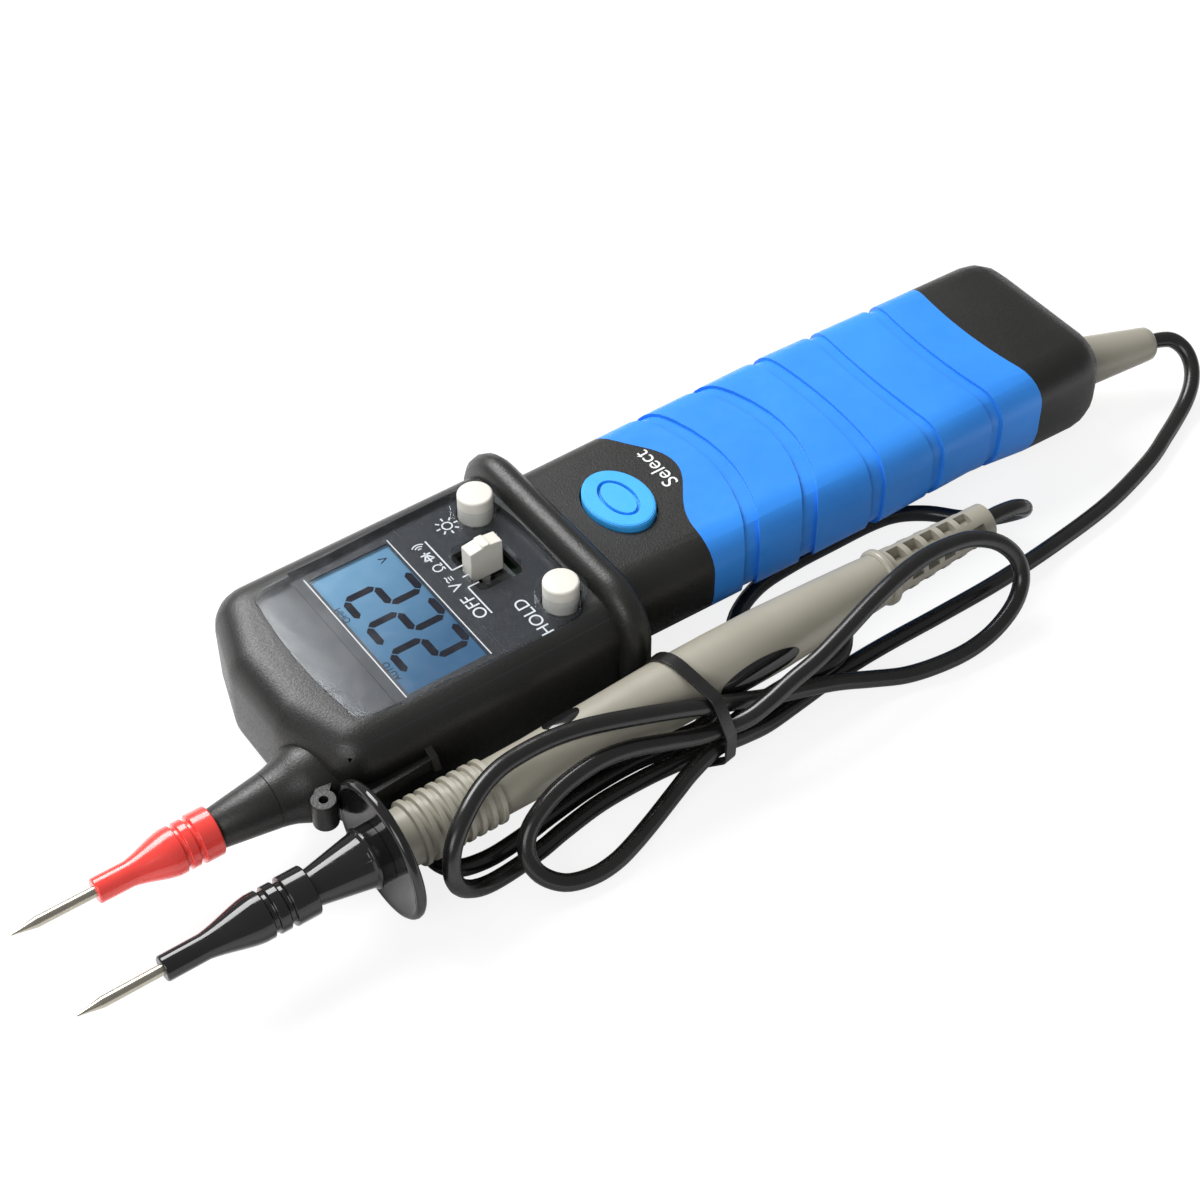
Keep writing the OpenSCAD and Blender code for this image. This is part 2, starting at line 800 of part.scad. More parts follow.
module battery_cover()
    color(case_colour)
        difference() {
            union() {
                intersection() {
                    handle_form(0);
                    difference() {
                        cover_plan(0);
                        handle_form(grip_thick);
                    }
                }
                block([bay_front + cover_gap, cover_gap - bay_half, cover_block_low],
                    [bay_rear - cover_gap, bay_half - cover_gap, cell_height - cover_cradle]);
            }
            for (side = [-1, 1])
                translate([bay_front - over, side * cell_y, cell_height])
                    lay_along()
                        cylinder(r = cell_diameter / 2 + seat_gap, h = reach, $fn = round_facets);
            cover_screw_hole();
        }

// A screw with a slotted pan head that stands head down
module screw(length)
    difference() {
        union() {
            cylinder(r = screw_head_radius, h = screw_head_height, $fn = round_facets);
            cylinder(r = screw_shank_radius, h = length, $fn = round_facets);
        }
        block([-screw_head_radius - over, -screw_slot_width / 2, -over],
            [screw_head_radius + over, screw_slot_width / 2, screw_slot_depth]);
    }

module cover_screw()
    color(steel_colour)
        translate([cover_screw_x, 0, cover_screw_low])
            screw(cover_screw_length);

module case_screws()
    color(steel_colour)
        for (i = [0:len(screw_places_x) - 1])
            translate([screw_places_x[i], screw_places_y[i], screw_lows[i]])
                screw(screw_tip - screw_lows[i]);

module lens()
    color(lens_colour)
        difference() {
            union() {
                translate([0, 0, panel_top])
                    lens_plan(seat_gap, lens_thick);
                at_buttons()
                    translate([0, 0, head_top])
                        cylinder(r = button_radius + button_gap + collar_wall, h = collar_rise,
                            $fn = round_facets);
                slot_cut(slot_rim, head_top - seat_gap, head_top + slot_rim_rise);
            }
            at_buttons()
                cylinder(r = button_radius + button_gap, h = reach, $fn = round_facets);
            slot_cut(0, panel_low, reach);
        }

module lcd_frame()
    color(ivory_colour)
        difference() {
            block([display_x - frame_along / 2, -frame_across / 2, board_top],
                [display_x + frame_along / 2, frame_across / 2, panel_top]);
            block([display_x - display_along / 2, -display_across / 2, board_top - over],
                [display_x + display_along / 2, display_across / 2, panel_top - window_lip_thick]);
            block([display_x - window_along / 2, -window_across / 2, board_top],
                [display_x + window_along / 2, window_across / 2, panel_top + over]);
        }

module lcd_backlight()
    color(ivory_colour)
        block([display_x - display_along / 2 + strip_width, -display_across / 2, board_top],
            [display_x + display_along / 2 - strip_width, display_across / 2, board_top + light_thick]);

module lcd_connectors()
    color(gloss_colour)
        for (side = [-1, 1])
            translate([display_x + side * (display_along - strip_width) / 2, 0, board_top])
                block([-strip_width / 2, -display_across / 2, 0],
                    [strip_width / 2, display_across / 2, light_thick]);

module lcd_glass()
    color(display_colour)
        block([display_x - display_along / 2, -display_across / 2, board_top + light_thick],
            [display_x + display_along / 2, display_across / 2, glass_top]);

module circuit_board()
    color(board_colour)
        difference() {
            union() {
                block([-head_length + head_bow_corner, board_gap + wall - head_width / 2, board_low],
                    [-head_room_rear - board_gap, head_width / 2 - wall - board_gap, board_top]);
                block([-head_room_rear - board_gap - over, -board_neck_half, board_low],
                    [screw_places_x[4] + boss_radius + board_gap, board_neck_half, board_top]);
                block([screw_places_x[4] - boss_radius - board_gap, -handle_neck_width / 2 + grip_thick + wall
                    + board_gap, board_low], [screw_places_x[4] + boss_radius + board_gap,
                    handle_neck_width / 2 - grip_thick - wall - board_gap, board_top]);
            }
            screw_holes();
        }

// A tactile switch with a well for a button's stem
module key_switch()
    difference() {
        block([-key_size / 2, -key_size / 2, board_top], [key_size / 2, key_size / 2, key_top]);
        translate([0, 0, board_top + well_floor / 2])
            cylinder(r = stem_radius + well_gap, h = key_height + over, $fn = round_facets);
    }

module key_switches()
    color(steel_colour) {
        at_buttons()
            key_switch();
        translate([select_x, 0, 0])
            key_switch();
    }

module buzzer()
    color(gloss_colour)
        translate([buzzer_x, 0, board_low - buzzer_height])
            cylinder(r = buzzer_radius, h = buzzer_height, $fn = round_facets);

// Body of the slide switch, with a slot for the knob's stem
module slide_switch()
    color(gloss_colour)
        difference() {
            block([knob_x - switch_along / 2, knob_y - switch_across / 2, board_top],
                [knob_x + switch_along / 2, knob_y + switch_across / 2, switch_top]);
            block([knob_x - knob_stem / 2 - slide_gap,
                knob_y - knob_stem / 2 - knob_step - slide_gap, switch_top - knob_stem_length - slide_gap],
                [knob_x + knob_stem / 2 + slide_gap,
                knob_y + knob_stem / 2 + knob_step + slide_gap, switch_top + over]);
        }

// Knob with a ridge on top, whose side view is extruded across the head
module switch_knob()
    color(ivory_colour) {
        top = head_top + knob_rise;
        low = panel_low;
        translate([knob_x, knob_y + knob_width / 2, 0])
            rotate([90, 0, 0])
                linear_extrude(knob_width)
                    polygon([[-knob_length / 2, low], [knob_length / 2, low],
                        [knob_length / 2, top - knob_grip_drop], [knob_ridge, top - knob_grip_drop / 2],
                        [knob_ridge, top], [-knob_ridge, top], [-knob_ridge, top - knob_grip_drop / 2],
                        [-knob_length / 2, top - knob_grip_drop]]);
        block([knob_x - knob_stem / 2, knob_y - knob_stem / 2, switch_top - knob_stem_length],
            [knob_x + knob_stem / 2, knob_y + knob_stem / 2, low + seat_gap]);
    }

// Round button with a rounded rim, a flange that holds it in and a stem
module round_button()
    rotate_extrude($fn = round_facets)
        polygon(concat([[0, stem_low], [stem_radius, stem_low], [stem_radius, flange_low],
            [button_radius + flange_wide, flange_low], [button_radius + flange_wide, flange_top],
            [button_radius, flange_top]],
            arc(button_radius - button_round, head_top + button_rise - button_round, button_round,
                0, 90, corner_steps),
            [[0, head_top + button_rise]]));

module hold_button()
    color(ivory_colour)
        translate([button_x, -button_offset, 0])
            round_button();

module light_button()
    color(ivory_colour)
        translate([button_x, button_offset, 0])
            round_button();

module select_button()
    color(select_colour)
        difference() {
            union() {
                select_oval(0, flange_low, handle_top + select_rise - button_round);
                for (step = [0:3])
                    let (a = 90 * step / 3)
                        select_oval(-button_round * (1 - cos(a)), flange_top,
                            handle_top + select_rise - button_round * (1 - sin(a)));
                select_oval(flange_wide, flange_low, flange_top);
                translate([select_x, 0, stem_low])
                    cylinder(r = stem_radius, h = stem_length + flange_thick / 2, $fn = round_facets);
            }
            translate([select_x, 0, handle_top + select_rise - select_groove_depth])
                linear_extrude(over + select_groove_depth)
                    difference() {
                        polygon(oval_points(select_groove_along, select_groove_across));
                        polygon(oval_points(select_groove_along - 2 * select_groove_width,
                            select_groove_across - 2 * select_groove_width));
                    }
        }

// Profile of a probe's cap along its length, from the front: tube, cone and three rings
function cap_points(length, bore) = concat(
    [[bore, 0], [cap_front_radius - barrel_ring / 2, 0], [cap_front_radius, barrel_ring / 2],
        [cap_front_radius, length * cap_front_share]],
    [for (i = [1:cone_steps]) let (t = i / cone_steps)
        [cap_front_radius + (cap_shoulder_radius - cap_front_radius) * (1 - cos(180 * t)) / 2,
            length * (cap_front_share + (cap_shoulder_share - cap_front_share) * t)]],
    [for (i = [0:len(cap_ring_shares) - 1], corner = [0:2]) let (
        front = length * cap_ring_shares[i], r = cap_ring_radii[i])
        corner == 0 ? [r, front + cap_ring_length] :
        corner == 1 ? [r - cap_groove_depth, front + 2 * cap_ring_length] :
        [i < 2 ? r - cap_groove_depth / 2 : cap_end_radius,
            i < 2 ? length * cap_ring_shares[i + 1] : front + 2 * cap_ring_length + barrel_ring]],
    [[cap_end_radius, length], [bore, length]]);

module probe_cap_solid(length)
    rotate_extrude($fn = round_facets)
        polygon(cap_points(length, needle_diameter / 2 + needle_gap));

// Needle with a stepped sharp point, from its point to its end in the barrel
module needle_solid(hidden)
    rotate_extrude($fn = round_facets)
        polygon(concat(
            [for (i = [0:len(needle_point_radii) - 1]) [needle_point_radii[i], needle_point_places[i]]],
            [[needle_diameter / 2, needle_point + needle_step],
                [needle_diameter / 2, needle_length + hidden], [0, needle_length + hidden]]));

cap_rear_x = -barrel_seat - barrel_length;
cap_front_x = cap_rear_x - cap_length;

module probe_barrel()
    color(case_colour)
        translate([cap_rear_x, -probe_offset, probe_height])
            lay_along()
                rotate_extrude($fn = round_facets)
                    polygon([[needle_diameter / 2 + needle_gap, 0], [barrel_tip_radius, 0],
                        [barrel_root_radius, barrel_length - 3 * barrel_ring],
                        [barrel_root_radius + barrel_ring, barrel_length - 2 * barrel_ring],
                        [barrel_root_radius + barrel_ring, barrel_length],
                        [barrel_spigot_radius, barrel_length],
                        [barrel_spigot_radius, barrel_length + barrel_spigot],
                        [needle_diameter / 2 + needle_gap, barrel_length + barrel_spigot]]);

module probe_cap()
    color(red_colour)
        translate([cap_front_x, -probe_offset, probe_height])
            lay_along()
                probe_cap_solid(cap_length);

module probe_needle()
    color(steel_colour)
        translate([cap_front_x - needle_length, -probe_offset, probe_height])
            lay_along()
                needle_solid(cap_length + barrel_length + barrel_spigot);

// Clip on the side of the head: a grooved shelf with an eye in front and a raised fin behind
module probe_holder() {
    top = holder_low + holder_thick;
    color(case_colour)
        difference() {
            union() {
                translate([0, 0, holder_low])
                    linear_extrude(holder_thick)
                        polygon([[-holder_front, -holder_root], [-holder_front, -holder_reach],
                            [-holder_rear, -holder_reach + holder_rail], [-holder_rear, -holder_root]]);
                translate([0, 0, holder_low])
                    linear_extrude(holder_thick)
                        polygon(holder_neck);
                translate([holder_lug_x, holder_lug_y, holder_low - holder_lug_drop])
                    cylinder(r = holder_lug_radius, h = holder_lug_drop + holder_thick, $fn = round_facets);
                translate([-holder_rear - holder_fin_thick, -holder_root, 0])
                    rotate([90, 0, 90])
                        linear_extrude(holder_fin_thick)
                            polygon([[0, holder_low], [0, top + holder_fin_rise],
                                [holder_root - holder_reach - holder_rail, top],
                                [holder_root - holder_reach, holder_low]]);
            }
            block([-holder_front - over, -holder_reach + holder_rail, top - holder_groove_depth],
                [-holder_rear - holder_fin_thick, -head_width / 2 - holder_rail, top + over]);
            translate([holder_lug_x, holder_lug_y, 0])
                cylinder(r = holder_hole_radius, h = reach, $fn = round_facets);
            head_form();
            probe_socket();
        }
}

module cells()
    color(steel_colour)
        for (side = [-1, 1])
            translate([(bay_front + bay_rear - side * cell_pole_length) / 2, side * cell_y, cell_height])
                lay_along() {
                    translate([0, 0, -cell_length / 2])
                        cylinder(r = cell_diameter / 2, h = cell_length, $fn = round_facets);
                    translate([0, 0, side > 0 ? cell_length / 2 : -cell_length / 2 - cell_pole_length])
                        cylinder(r = cell_pole_radius, h = cell_pole_length, $fn = round_facets);
                }

// Contact plates with a spring at each cell's flat end
module battery_contacts()
    color(steel_colour)
        for (side = [-1, 1], end = [-1, 1]) {
            x = end < 0 ? bay_front : bay_rear - contact_thick;
            gap = (bay_rear - bay_front - cell_length - cell_pole_length) / 2 - contact_thick;
            translate([0, side * cell_y, cell_height]) {
                block([x, -contact_size / 2, -contact_size / 2],
                    [x + contact_thick, contact_size / 2, contact_size / 2]);
                translate([end < 0 ? x + contact_thick : x - gap, 0, 0])
                    lay_along()
                        cylinder(r = side == end ? cell_pole_radius : spring_radius, h = gap,
                            $fn = round_facets);
            }
        }

module strain_relief()
    color(grey_colour)
        at_relief()
            rotate_extrude($fn = round_facets)
                polygon(concat([[0, -relief_flange_thick], [relief_flange_radius, -relief_flange_thick],
                    [relief_flange_radius, 0], [relief_root_radius, 0], [relief_root_radius, relief_inset]],
                    arc(relief_tip_radius - relief_tip_round, relief_inset + relief_length - relief_tip_round
                        - over, relief_tip_round, 0, 90, corner_steps),
                    [[0, relief_inset + relief_length - over]]));

// Frame of the loose probe: the middle of its guard disc, with +Z along the probe to the lead
module at_loose()
    translate([loose_x, loose_y, guard_diameter / 2 + loose_lift])
        rotate([0, loose_dip, loose_turn])
            lay_along()
                children();

module lead_needle()
    color(steel_colour)
        at_loose()
            translate([0, 0, -loose_shaft_front - loose_cap_length - needle_length])
                needle_solid(loose_cap_length + loose_shaft_front - guard_hub);

module lead_cap()
    color(gloss_colour)
        at_loose()
            translate([0, 0, -loose_shaft_front - loose_cap_length])
                probe_cap_solid(loose_cap_length);

// Shaft between the cap and the guard, flared at its rim, with a plain collar behind
module lead_shaft()
    color(gloss_colour)
        at_loose()
            rotate_extrude($fn = round_facets)
                polygon([[needle_diameter / 2 + needle_gap, -loose_shaft_front],
                    [loose_shaft_tip_radius, -loose_shaft_front],
                    [loose_shaft_root_radius, -loose_shaft_rear - 2 * barrel_ring],
                    [loose_collar_radius, -loose_shaft_rear - barrel_ring],
                    [loose_collar_radius, -loose_shaft_rear],
                    [loose_collar_radius - barrel_ring / 2, -loose_shaft_rear],
                    [loose_collar_radius - barrel_ring / 2, -guard_hub],
                    [needle_diameter / 2 + needle_gap, -guard_hub]]);

module finger_guard()
    color(gloss_colour)
        at_loose()
            rotate_extrude($fn = round_facets) {
                r = guard_diameter / 2;
                t = guard_thick / 2;
                polygon(concat([[0, -guard_hub], [loose_collar_radius, -guard_hub]],
                    [for (i = [0:corner_steps]) let (a = 90 * i / corner_steps)
                        [loose_collar_radius + (r - t - loose_collar_radius) * sin(a),
                            -guard_hub - guard_dish * (1 - cos(a))]],
                    arc(r - t, t - guard_hub - guard_dish, t, -90, 90, corner_steps),
                    [[loose_collar_radius, sleeve_front], [0, sleeve_front]]));
            }

// Soft sleeve with rings round it
function sleeve_points() = concat(
    [[barrel_wall_bore, sleeve_front], [sleeve_neck_radius, sleeve_front]],
    [for (i = [0:sleeve_ring_count - 1], corner = [0:3]) let (
        place = sleeve_first_ring + i * sleeve_ring_pitch + (corner < 2 ? 0 : sleeve_ring_width),
        edge = corner == 1 ? sleeve_ring_edge : corner == 2 ? -sleeve_ring_edge : 0)
            [edge == 0 ? sleeve_neck_radius : sleeve_ring_radius, place + edge]],
    [[sleeve_neck_radius, sleeve_rear], [barrel_wall_bore, sleeve_rear]]);

module lead_sleeve()
    color(grey_colour)
        at_loose()
            rotate_extrude($fn = round_facets)
                polygon(sleeve_points());

// Long barrel of the loose probe, made proud by extra
module barrel_solid(extra, bore)
    rotate_extrude($fn = round_facets)
        polygon(concat([[bore, sleeve_rear]],
            [for (i = [0:len(barrel_profile_shares) - 1])
                [barrel_radius * barrel_radius_shares[i] + extra,
                    sleeve_rear + (barrel_rear - sleeve_rear) * barrel_profile_shares[i]]],
            [[bore, barrel_rear]]));

module inlay_prism(i)
    rotate([0, 0, inlay_angles[i]])
        translate([0, 0, inlay_places[i]])
            rotate([90, 0, 0])
                linear_extrude(barrel_reach)
                    polygon([for (k = [0:oval_steps - 1]) let (a = 360 * k / oval_steps)
                        [inlay_widths[i] / 2 * sin(a), inlay_lengths[i] / 2 * cos(a)]]);

module inlay_pockets()
    difference() {
        for (i = [0:len(inlay_places) - 1])
            inlay_prism(i);
        barrel_solid(-inlay_depth, 0);
    }

module lead_barrel_half(side)
    color(grey_colour)
        at_loose()
            difference() {
                barrel_solid(0, barrel_wall_bore);
                inlay_pockets();
                block([side > 0 ? 0 : -barrel_reach, -barrel_reach, 0],
                    [side > 0 ? barrel_reach : 0, barrel_reach, reach]);
            }

module lead_barrel_upper()
    lead_barrel_half(1);

module lead_barrel_lower()
    lead_barrel_half(-1);

module grip_inlays()
    color(gloss_colour)
        at_loose()
            for (i = [0:len(inlay_places) - 1])
                intersection() {
                    inlay_prism(i);
                    difference() {
                        barrel_solid(inlay_proud, 0);
                        barrel_solid(-inlay_depth, 0);
                    }
                }

module lead_collar()
    color(grey_colour)
        at_loose()
            translate([0, 0, barrel_rear])
                rotate_extrude($fn = round_facets)
                    polygon([[barrel_wall_bore, 0], [collar_radius - barrel_ring, 0],
                        [collar_radius, barrel_ring], [collar_radius, collar_length - barrel_ring],
                        [collar_radius - barrel_ring, collar_length], [barrel_wall_bore, collar_length]]);

// Tapered relief with windows down four sides
module lead_relief()
    color(grey_colour)
        at_loose()
            translate([0, 0, barrel_rear + collar_length])
                difference() {
                    rotate_extrude($fn = round_facets)
                        polygon([[0, 0], [loose_relief_root, 0], [loose_relief_tip, loose_relief_length],
                            [0, loose_relief_length]]);
                    for (side = [0:3], i = [0:relief_window_count - 1])
                        rotate([0, 0, 45 + 90 * side])
                            translate([0, 0, relief_first_window + relief_window_pitch * (i + side % 2 / 2)])
                                block([-relief_window / 2, lead_diameter / 2, -relief_window / 2],
                                    [relief_window / 2, 2 * loose_relief_root, relief_window / 2]);
                }

// Sweep of the lead: rings of points square to the route, joined by triangles
function unit(v) = v / norm(v);
function route_way(i) = unit(cord_route[min(i + 1, len(cord_route) - 1)] - cord_route[max(i - 1, 0)]);
function ring_side(i) = unit(cross(route_way(i), [0, 0, 1]));
function ring_points(i) = let (side = ring_side(i), up = cross(side, route_way(i)))
    [for (k = [0:cord_sides - 1]) let (a = 360 * (k + 0.5) / cord_sides)
        cord_route[i] + (side * cos(a) + up * sin(a)) * lead_diameter / 2];

module lead_cord() {
    rings = len(cord_route);
    points = [for (i = [0:rings - 1]) each ring_points(i)];
    faces = [for (i = [0:rings - 2], k = [0:cord_sides - 1], half = [0, 1])
        let (a = i * cord_sides + k, b = i * cord_sides + (k + 1) % cord_sides)
            half == 0 ? [a, b, b + cord_sides] : [a, b + cord_sides, a + cord_sides]];
    first = [for (k = [1:cord_sides - 2]) [0, k + 1, k]];
    end = (rings - 1) * cord_sides;
    last = [for (k = [1:cord_sides - 2]) [end, end + k, end + k + 1]];
    color(gloss_colour)
        polyhedron(points = points, faces = concat(faces, first, last));
}

// Least gap of the lead to itself, over points that lie far enough apart along it
samples_per_step = 3;
function route_samples() = [for (i = [0:len(cord_route) - 2], k = [0:samples_per_step - 1])
    cord_route[i] + (cord_route[i + 1] - cord_route[i]) * k / samples_per_step];
gap_list = let (s = route_samples(), skip = 2 * samples_per_step)
    [for (i = [0:len(s) - 1 - skip], j = [i + skip:len(s) - 1]) norm(s[i] - s[j])];
echo(least_gap_of_the_lead = min(gap_list) - lead_diameter);
route_steps = [for (i = [0:len(cord_route) - 2]) norm(cord_route[i + 1] - cord_route[i])];
echo(length_of_the_lead = route_steps * [for (step = route_steps) 1]);

// Band of the tie, drawn round the barrel and the bundle and turned across them
module tie_outline(extra)
    hull() {
        translate(tie_barrel)
            circle(r = barrel_radius + tie_gap + extra, $fn = hull_facets);
        for (place = tie_strands)
            translate(place)
                circle(r = lead_diameter / 2 + tie_gap + extra, $fn = hull_facets);
    }

module lead_tie()
    color(case_colour)
        translate([tie_x, tie_y, 0])
            rotate([0, 0, tie_turn])
                rotate([90, 0, 90])
                    linear_extrude(tie_width, center = true)
                        difference() {
                            tie_outline(tie_thick);
                            tie_outline(0);
                        }

upper_case();
lower_case();
grip_upper();
grip_lower();
lens();
lcd_glass();
lcd_backlight();
lcd_frame();
lcd_connectors();
circuit_board();
key_switches();
buzzer();
slide_switch();
switch_knob();
hold_button();
light_button();
select_button();
probe_barrel();
probe_cap();
probe_needle();
probe_holder();
battery_cover();
cover_screw();
cells();
battery_contacts();
case_screws();
strain_relief();
lead_cord();
lead_tie();
lead_needle();
lead_cap();
lead_shaft();
finger_guard();
lead_sleeve();
lead_barrel_upper();
lead_barrel_lower();
grip_inlays();
lead_collar();
lead_relief();
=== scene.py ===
# %% [markdown]
# # A pen multimeter, dressed in Blender
# The instrument is a slim meter with a needle of its own in front and a second one on a lead. Its
# solids come from CAD, at the right size and in the right place, but with hard edges and no finish.
# They are loaded as a frame, and every piece made here sits on that frame instead of being placed
# by eye. Lengths are metres, +Z is up and the red needle points to -X.

# %% Load the frame
import json
import math
import bmesh
import bpy
from mathutils import Matrix, Vector


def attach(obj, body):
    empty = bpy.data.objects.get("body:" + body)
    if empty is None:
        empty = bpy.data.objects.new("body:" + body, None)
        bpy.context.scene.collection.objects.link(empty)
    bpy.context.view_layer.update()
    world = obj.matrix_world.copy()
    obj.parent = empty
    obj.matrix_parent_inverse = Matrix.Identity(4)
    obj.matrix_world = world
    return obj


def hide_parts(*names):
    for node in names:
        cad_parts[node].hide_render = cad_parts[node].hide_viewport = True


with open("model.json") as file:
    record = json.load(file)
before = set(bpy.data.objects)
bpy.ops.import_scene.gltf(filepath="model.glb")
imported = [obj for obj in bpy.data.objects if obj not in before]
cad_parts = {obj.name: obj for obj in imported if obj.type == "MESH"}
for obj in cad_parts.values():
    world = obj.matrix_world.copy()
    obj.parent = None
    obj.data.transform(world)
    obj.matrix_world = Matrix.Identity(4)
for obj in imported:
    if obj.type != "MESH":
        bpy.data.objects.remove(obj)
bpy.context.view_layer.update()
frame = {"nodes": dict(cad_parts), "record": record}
MM = 0.001
BODIES = {node: body for body, nodes in frame["record"]["behaviour"]["bodies"].items()
    for node in nodes}

# %% [markdown]
# The photograph looks down at 46 degrees from the left of the probe side, through a long lens that
# keeps parallel edges nearly parallel. A camera could be turned by three angles, but a place and a
# target are easier to read, and the turn follows from them. It comes first, because everything
# else is judged through it.

# %% Camera
target = Vector((3.0, -10.4, 14.1)) * MM
camera_place = Vector((-176.9, -262.5, 337.1)) * MM
camera_data = bpy.data.cameras.new("photo_camera")
camera_data.lens = 72
camera_data.sensor_width = 36
camera_data.clip_start = 0.01
camera = bpy.data.objects.new("photo_camera", camera_data)
camera.location = camera_place
camera.rotation_euler = (target - camera_place).to_track_quat("-Z", "Y").to_euler()
bpy.context.scene.collection.objects.link(camera)
bpy.context.scene.camera = camera
print("camera stands", round((target - camera_place).length, 3), "m from its target")

# %% [markdown]
# A finish is a small network of nodes. Linking them one by one hides the idea, and shader maths
# reads best as plain sums. `Term` wraps the output of a node, so that `1 - mask` or `height * 0.5`
# adds the Math node that does it. `Finish` holds one material, and its `node` method adds any other
# node: settings first, then the values or links of its sockets.

# %% Shader helpers
class Term:
    def __init__(self, finish, socket):
        self.finish, self.socket = finish, socket

    def math(self, operation, first, second):
        return self.finish.node("ShaderNodeMath", {"operation": operation}, {0: first, 1: second})

    def __add__(self, other):
        return self.math("ADD", self, other)

    def __radd__(self, other):
        return self.math("ADD", other, self)

    def __sub__(self, other):
        return self.math("SUBTRACT", self, other)

    def __rsub__(self, other):
        return self.math("SUBTRACT", other, self)

    def __mul__(self, other):
        return self.math("MULTIPLY", self, other)

    def __rmul__(self, other):
        return self.math("MULTIPLY", other, self)

    def above(self, limit):
        return self.math("GREATER_THAN", self, limit)


class Finish:
    def __init__(self, name):
        self.material = bpy.data.materials.new(name)
        self.material.use_nodes = True
        self.tree = self.material.node_tree
        self.surface = self.tree.nodes["Principled BSDF"]
        self.output = self.tree.nodes["Material Output"]
        self.place = self.node("ShaderNodeTexCoord", {}, {}, "Object")
        print("finish", name)

    def put(self, socket, value):
        if isinstance(value, Term):
            self.tree.links.new(value.socket, socket)
        else:
            socket.default_value = value

    def node(self, kind, settings, sockets, output=0):
        made = self.tree.nodes.new(kind)
        for name, value in settings.items():
            setattr(made, name, value)
        for key, value in sockets.items():
            self.put(made.inputs[key], value)
        return Term(self, made.outputs[output])

    def shine(self, **values):
        for name, value in values.items():
            self.put(self.surface.inputs[name.replace("_", " ")], value)

    def noise(self, per_mm, detail=2.0):
        return self.node("ShaderNodeTexNoise", {}, {"Vector": self.place,
            "Scale": per_mm / MM, "Detail": detail, "Roughness": 0.5})

    def spread(self, value, low, high, out_low, out_high):
        return self.node("ShaderNodeMapRange", {}, {"Value": value, "From Min": low,
            "From Max": high, "To Min": out_low, "To Max": out_high})

    def blend(self, mask, one, two):
        made = self.tree.nodes.new("ShaderNodeMix")
        made.data_type = "RGBA"
        self.put(made.inputs["Factor"], mask)
        self.put(made.inputs["A"], one)
        self.put(made.inputs["B"], two)
        return Term(self, made.outputs["Result"])

    def bump(self, height, depth_mm, strength=1.0):
        return self.node("ShaderNodeBump", {}, {"Height": height, "Distance": depth_mm * MM,
            "Strength": strength}, "Normal")

    def axis(self, name):
        return self.node("ShaderNodeSeparateXYZ", {}, {"Vector": self.place}, name)


# %% [markdown]
# Colours are written as the 0 to 255 values of a picture, because those can be read off a screen.
# A shader wants linear light, so each value goes through the curve of a screen first.

# %% Colour
def colour(red, green, blue):
    linear = [((v / 255 + 0.055) / 1.055) ** 2.4 if v > 10 else v / 255 / 12.92
        for v in (red, green, blue)]
    return (*linear, 1.0)


# %% [markdown]
# The housings are moulded in black plastic with a fine spark-eroded grain. Under the lens the same
# moulding is smooth and grey. The sunk face could be a piece of its own, but then its rim would
# show a seam, so one material holds both: a mask finds the face by its height.

# %% Black case
case = Finish("case_black")
grain = case.noise(2.6, 3)
cloud = case.noise(0.05, 2)
height = case.axis("Z")
face_floor, face_ceiling = 0.02355, 0.02364
face = height.above(face_floor) * (1 - height.above(face_ceiling)) * (1 - case.axis("X").above(0))
black = case.blend(case.spread(cloud, 0.35, 0.65, 0, 1), colour(27, 27, 26), colour(34, 34, 33))
case.shine(Base_Color=case.blend(face, black, colour(44, 46, 50)),
    Specular_IOR_Level=0.45, Roughness=case.spread(grain, 0.3, 0.7, 0.34, 0.48) - face * 0.2,
    Normal=case.bump(grain * (1 - face), 0.07, 0.7))

# %% [markdown]
# The cap, the shaft and the guard of the loose probe are polished black. A plain low roughness
# would look like a drawing, so the mirror gets faint waves where the moulding has shrunk, and a few
# soft handling marks in its roughness.

# %% Polished black
gloss = Finish("gloss_black")
gloss.shine(Base_Color=gloss.blend(gloss.noise(0.08), colour(20, 20, 21), colour(30, 30, 31)),
    Roughness=gloss.spread(gloss.noise(0.35, 4), 0.4, 0.7, 0.07, 0.2),
    Normal=gloss.bump(gloss.noise(0.25, 1), 0.03, 0.4))

# %% [markdown]
# The grip is a soft blue skin with a satin sheen, and the select key is a lighter blue. Both get
# the same recipe: large patches that differ a little in colour and in roughness, as rubber does
# once it has been handled, and a fine grain that breaks up the highlight. One function makes it.

# %% Blue skin and blue key
def satin(name, dark, light, rough, grain_mm=0.03):
    made = Finish(name)
    patches = made.spread(made.noise(0.06, 3), 0.3, 0.7, 0, 1)
    pores = made.noise(3.0, 2)
    made.shine(Base_Color=made.blend(patches, colour(*dark), colour(*light)),
        Roughness=made.spread(made.noise(0.4, 3), 0.3, 0.7, rough - 0.05, rough + 0.06),
        Normal=made.bump(pores, grain_mm, 0.45))
    return made


grip = satin("grip_blue", (48, 136, 232), (54, 143, 238), 0.38)
grip.shine(Specular_IOR_Level=0.35)
select_key = satin("select_blue", (56, 166, 241), (64, 176, 249), 0.4, 0.015)

# %% [markdown]
# The other plastics differ from the blue ones in colour, shine and depth of grain only, so they use
# the same function: the warm grey of the loose probe, the ivory of the keys, the green of the
# circuit board, and the red of the cap, which has a clear gloss over it.

# %% Grey, red, ivory and green
grey = satin("grey", (150, 146, 133), (160, 156, 143), 0.34, 0.02)
red = satin("red", (232, 62, 56), (246, 76, 68), 0.24, 0.006)
red.shine(Coat_Weight=0.35, Coat_Roughness=0.08)
ivory = satin("ivory", (214, 211, 201), (222, 219, 210), 0.42, 0.012)
board = satin("board", (18, 74, 40), (26, 90, 50), 0.35, 0.01)

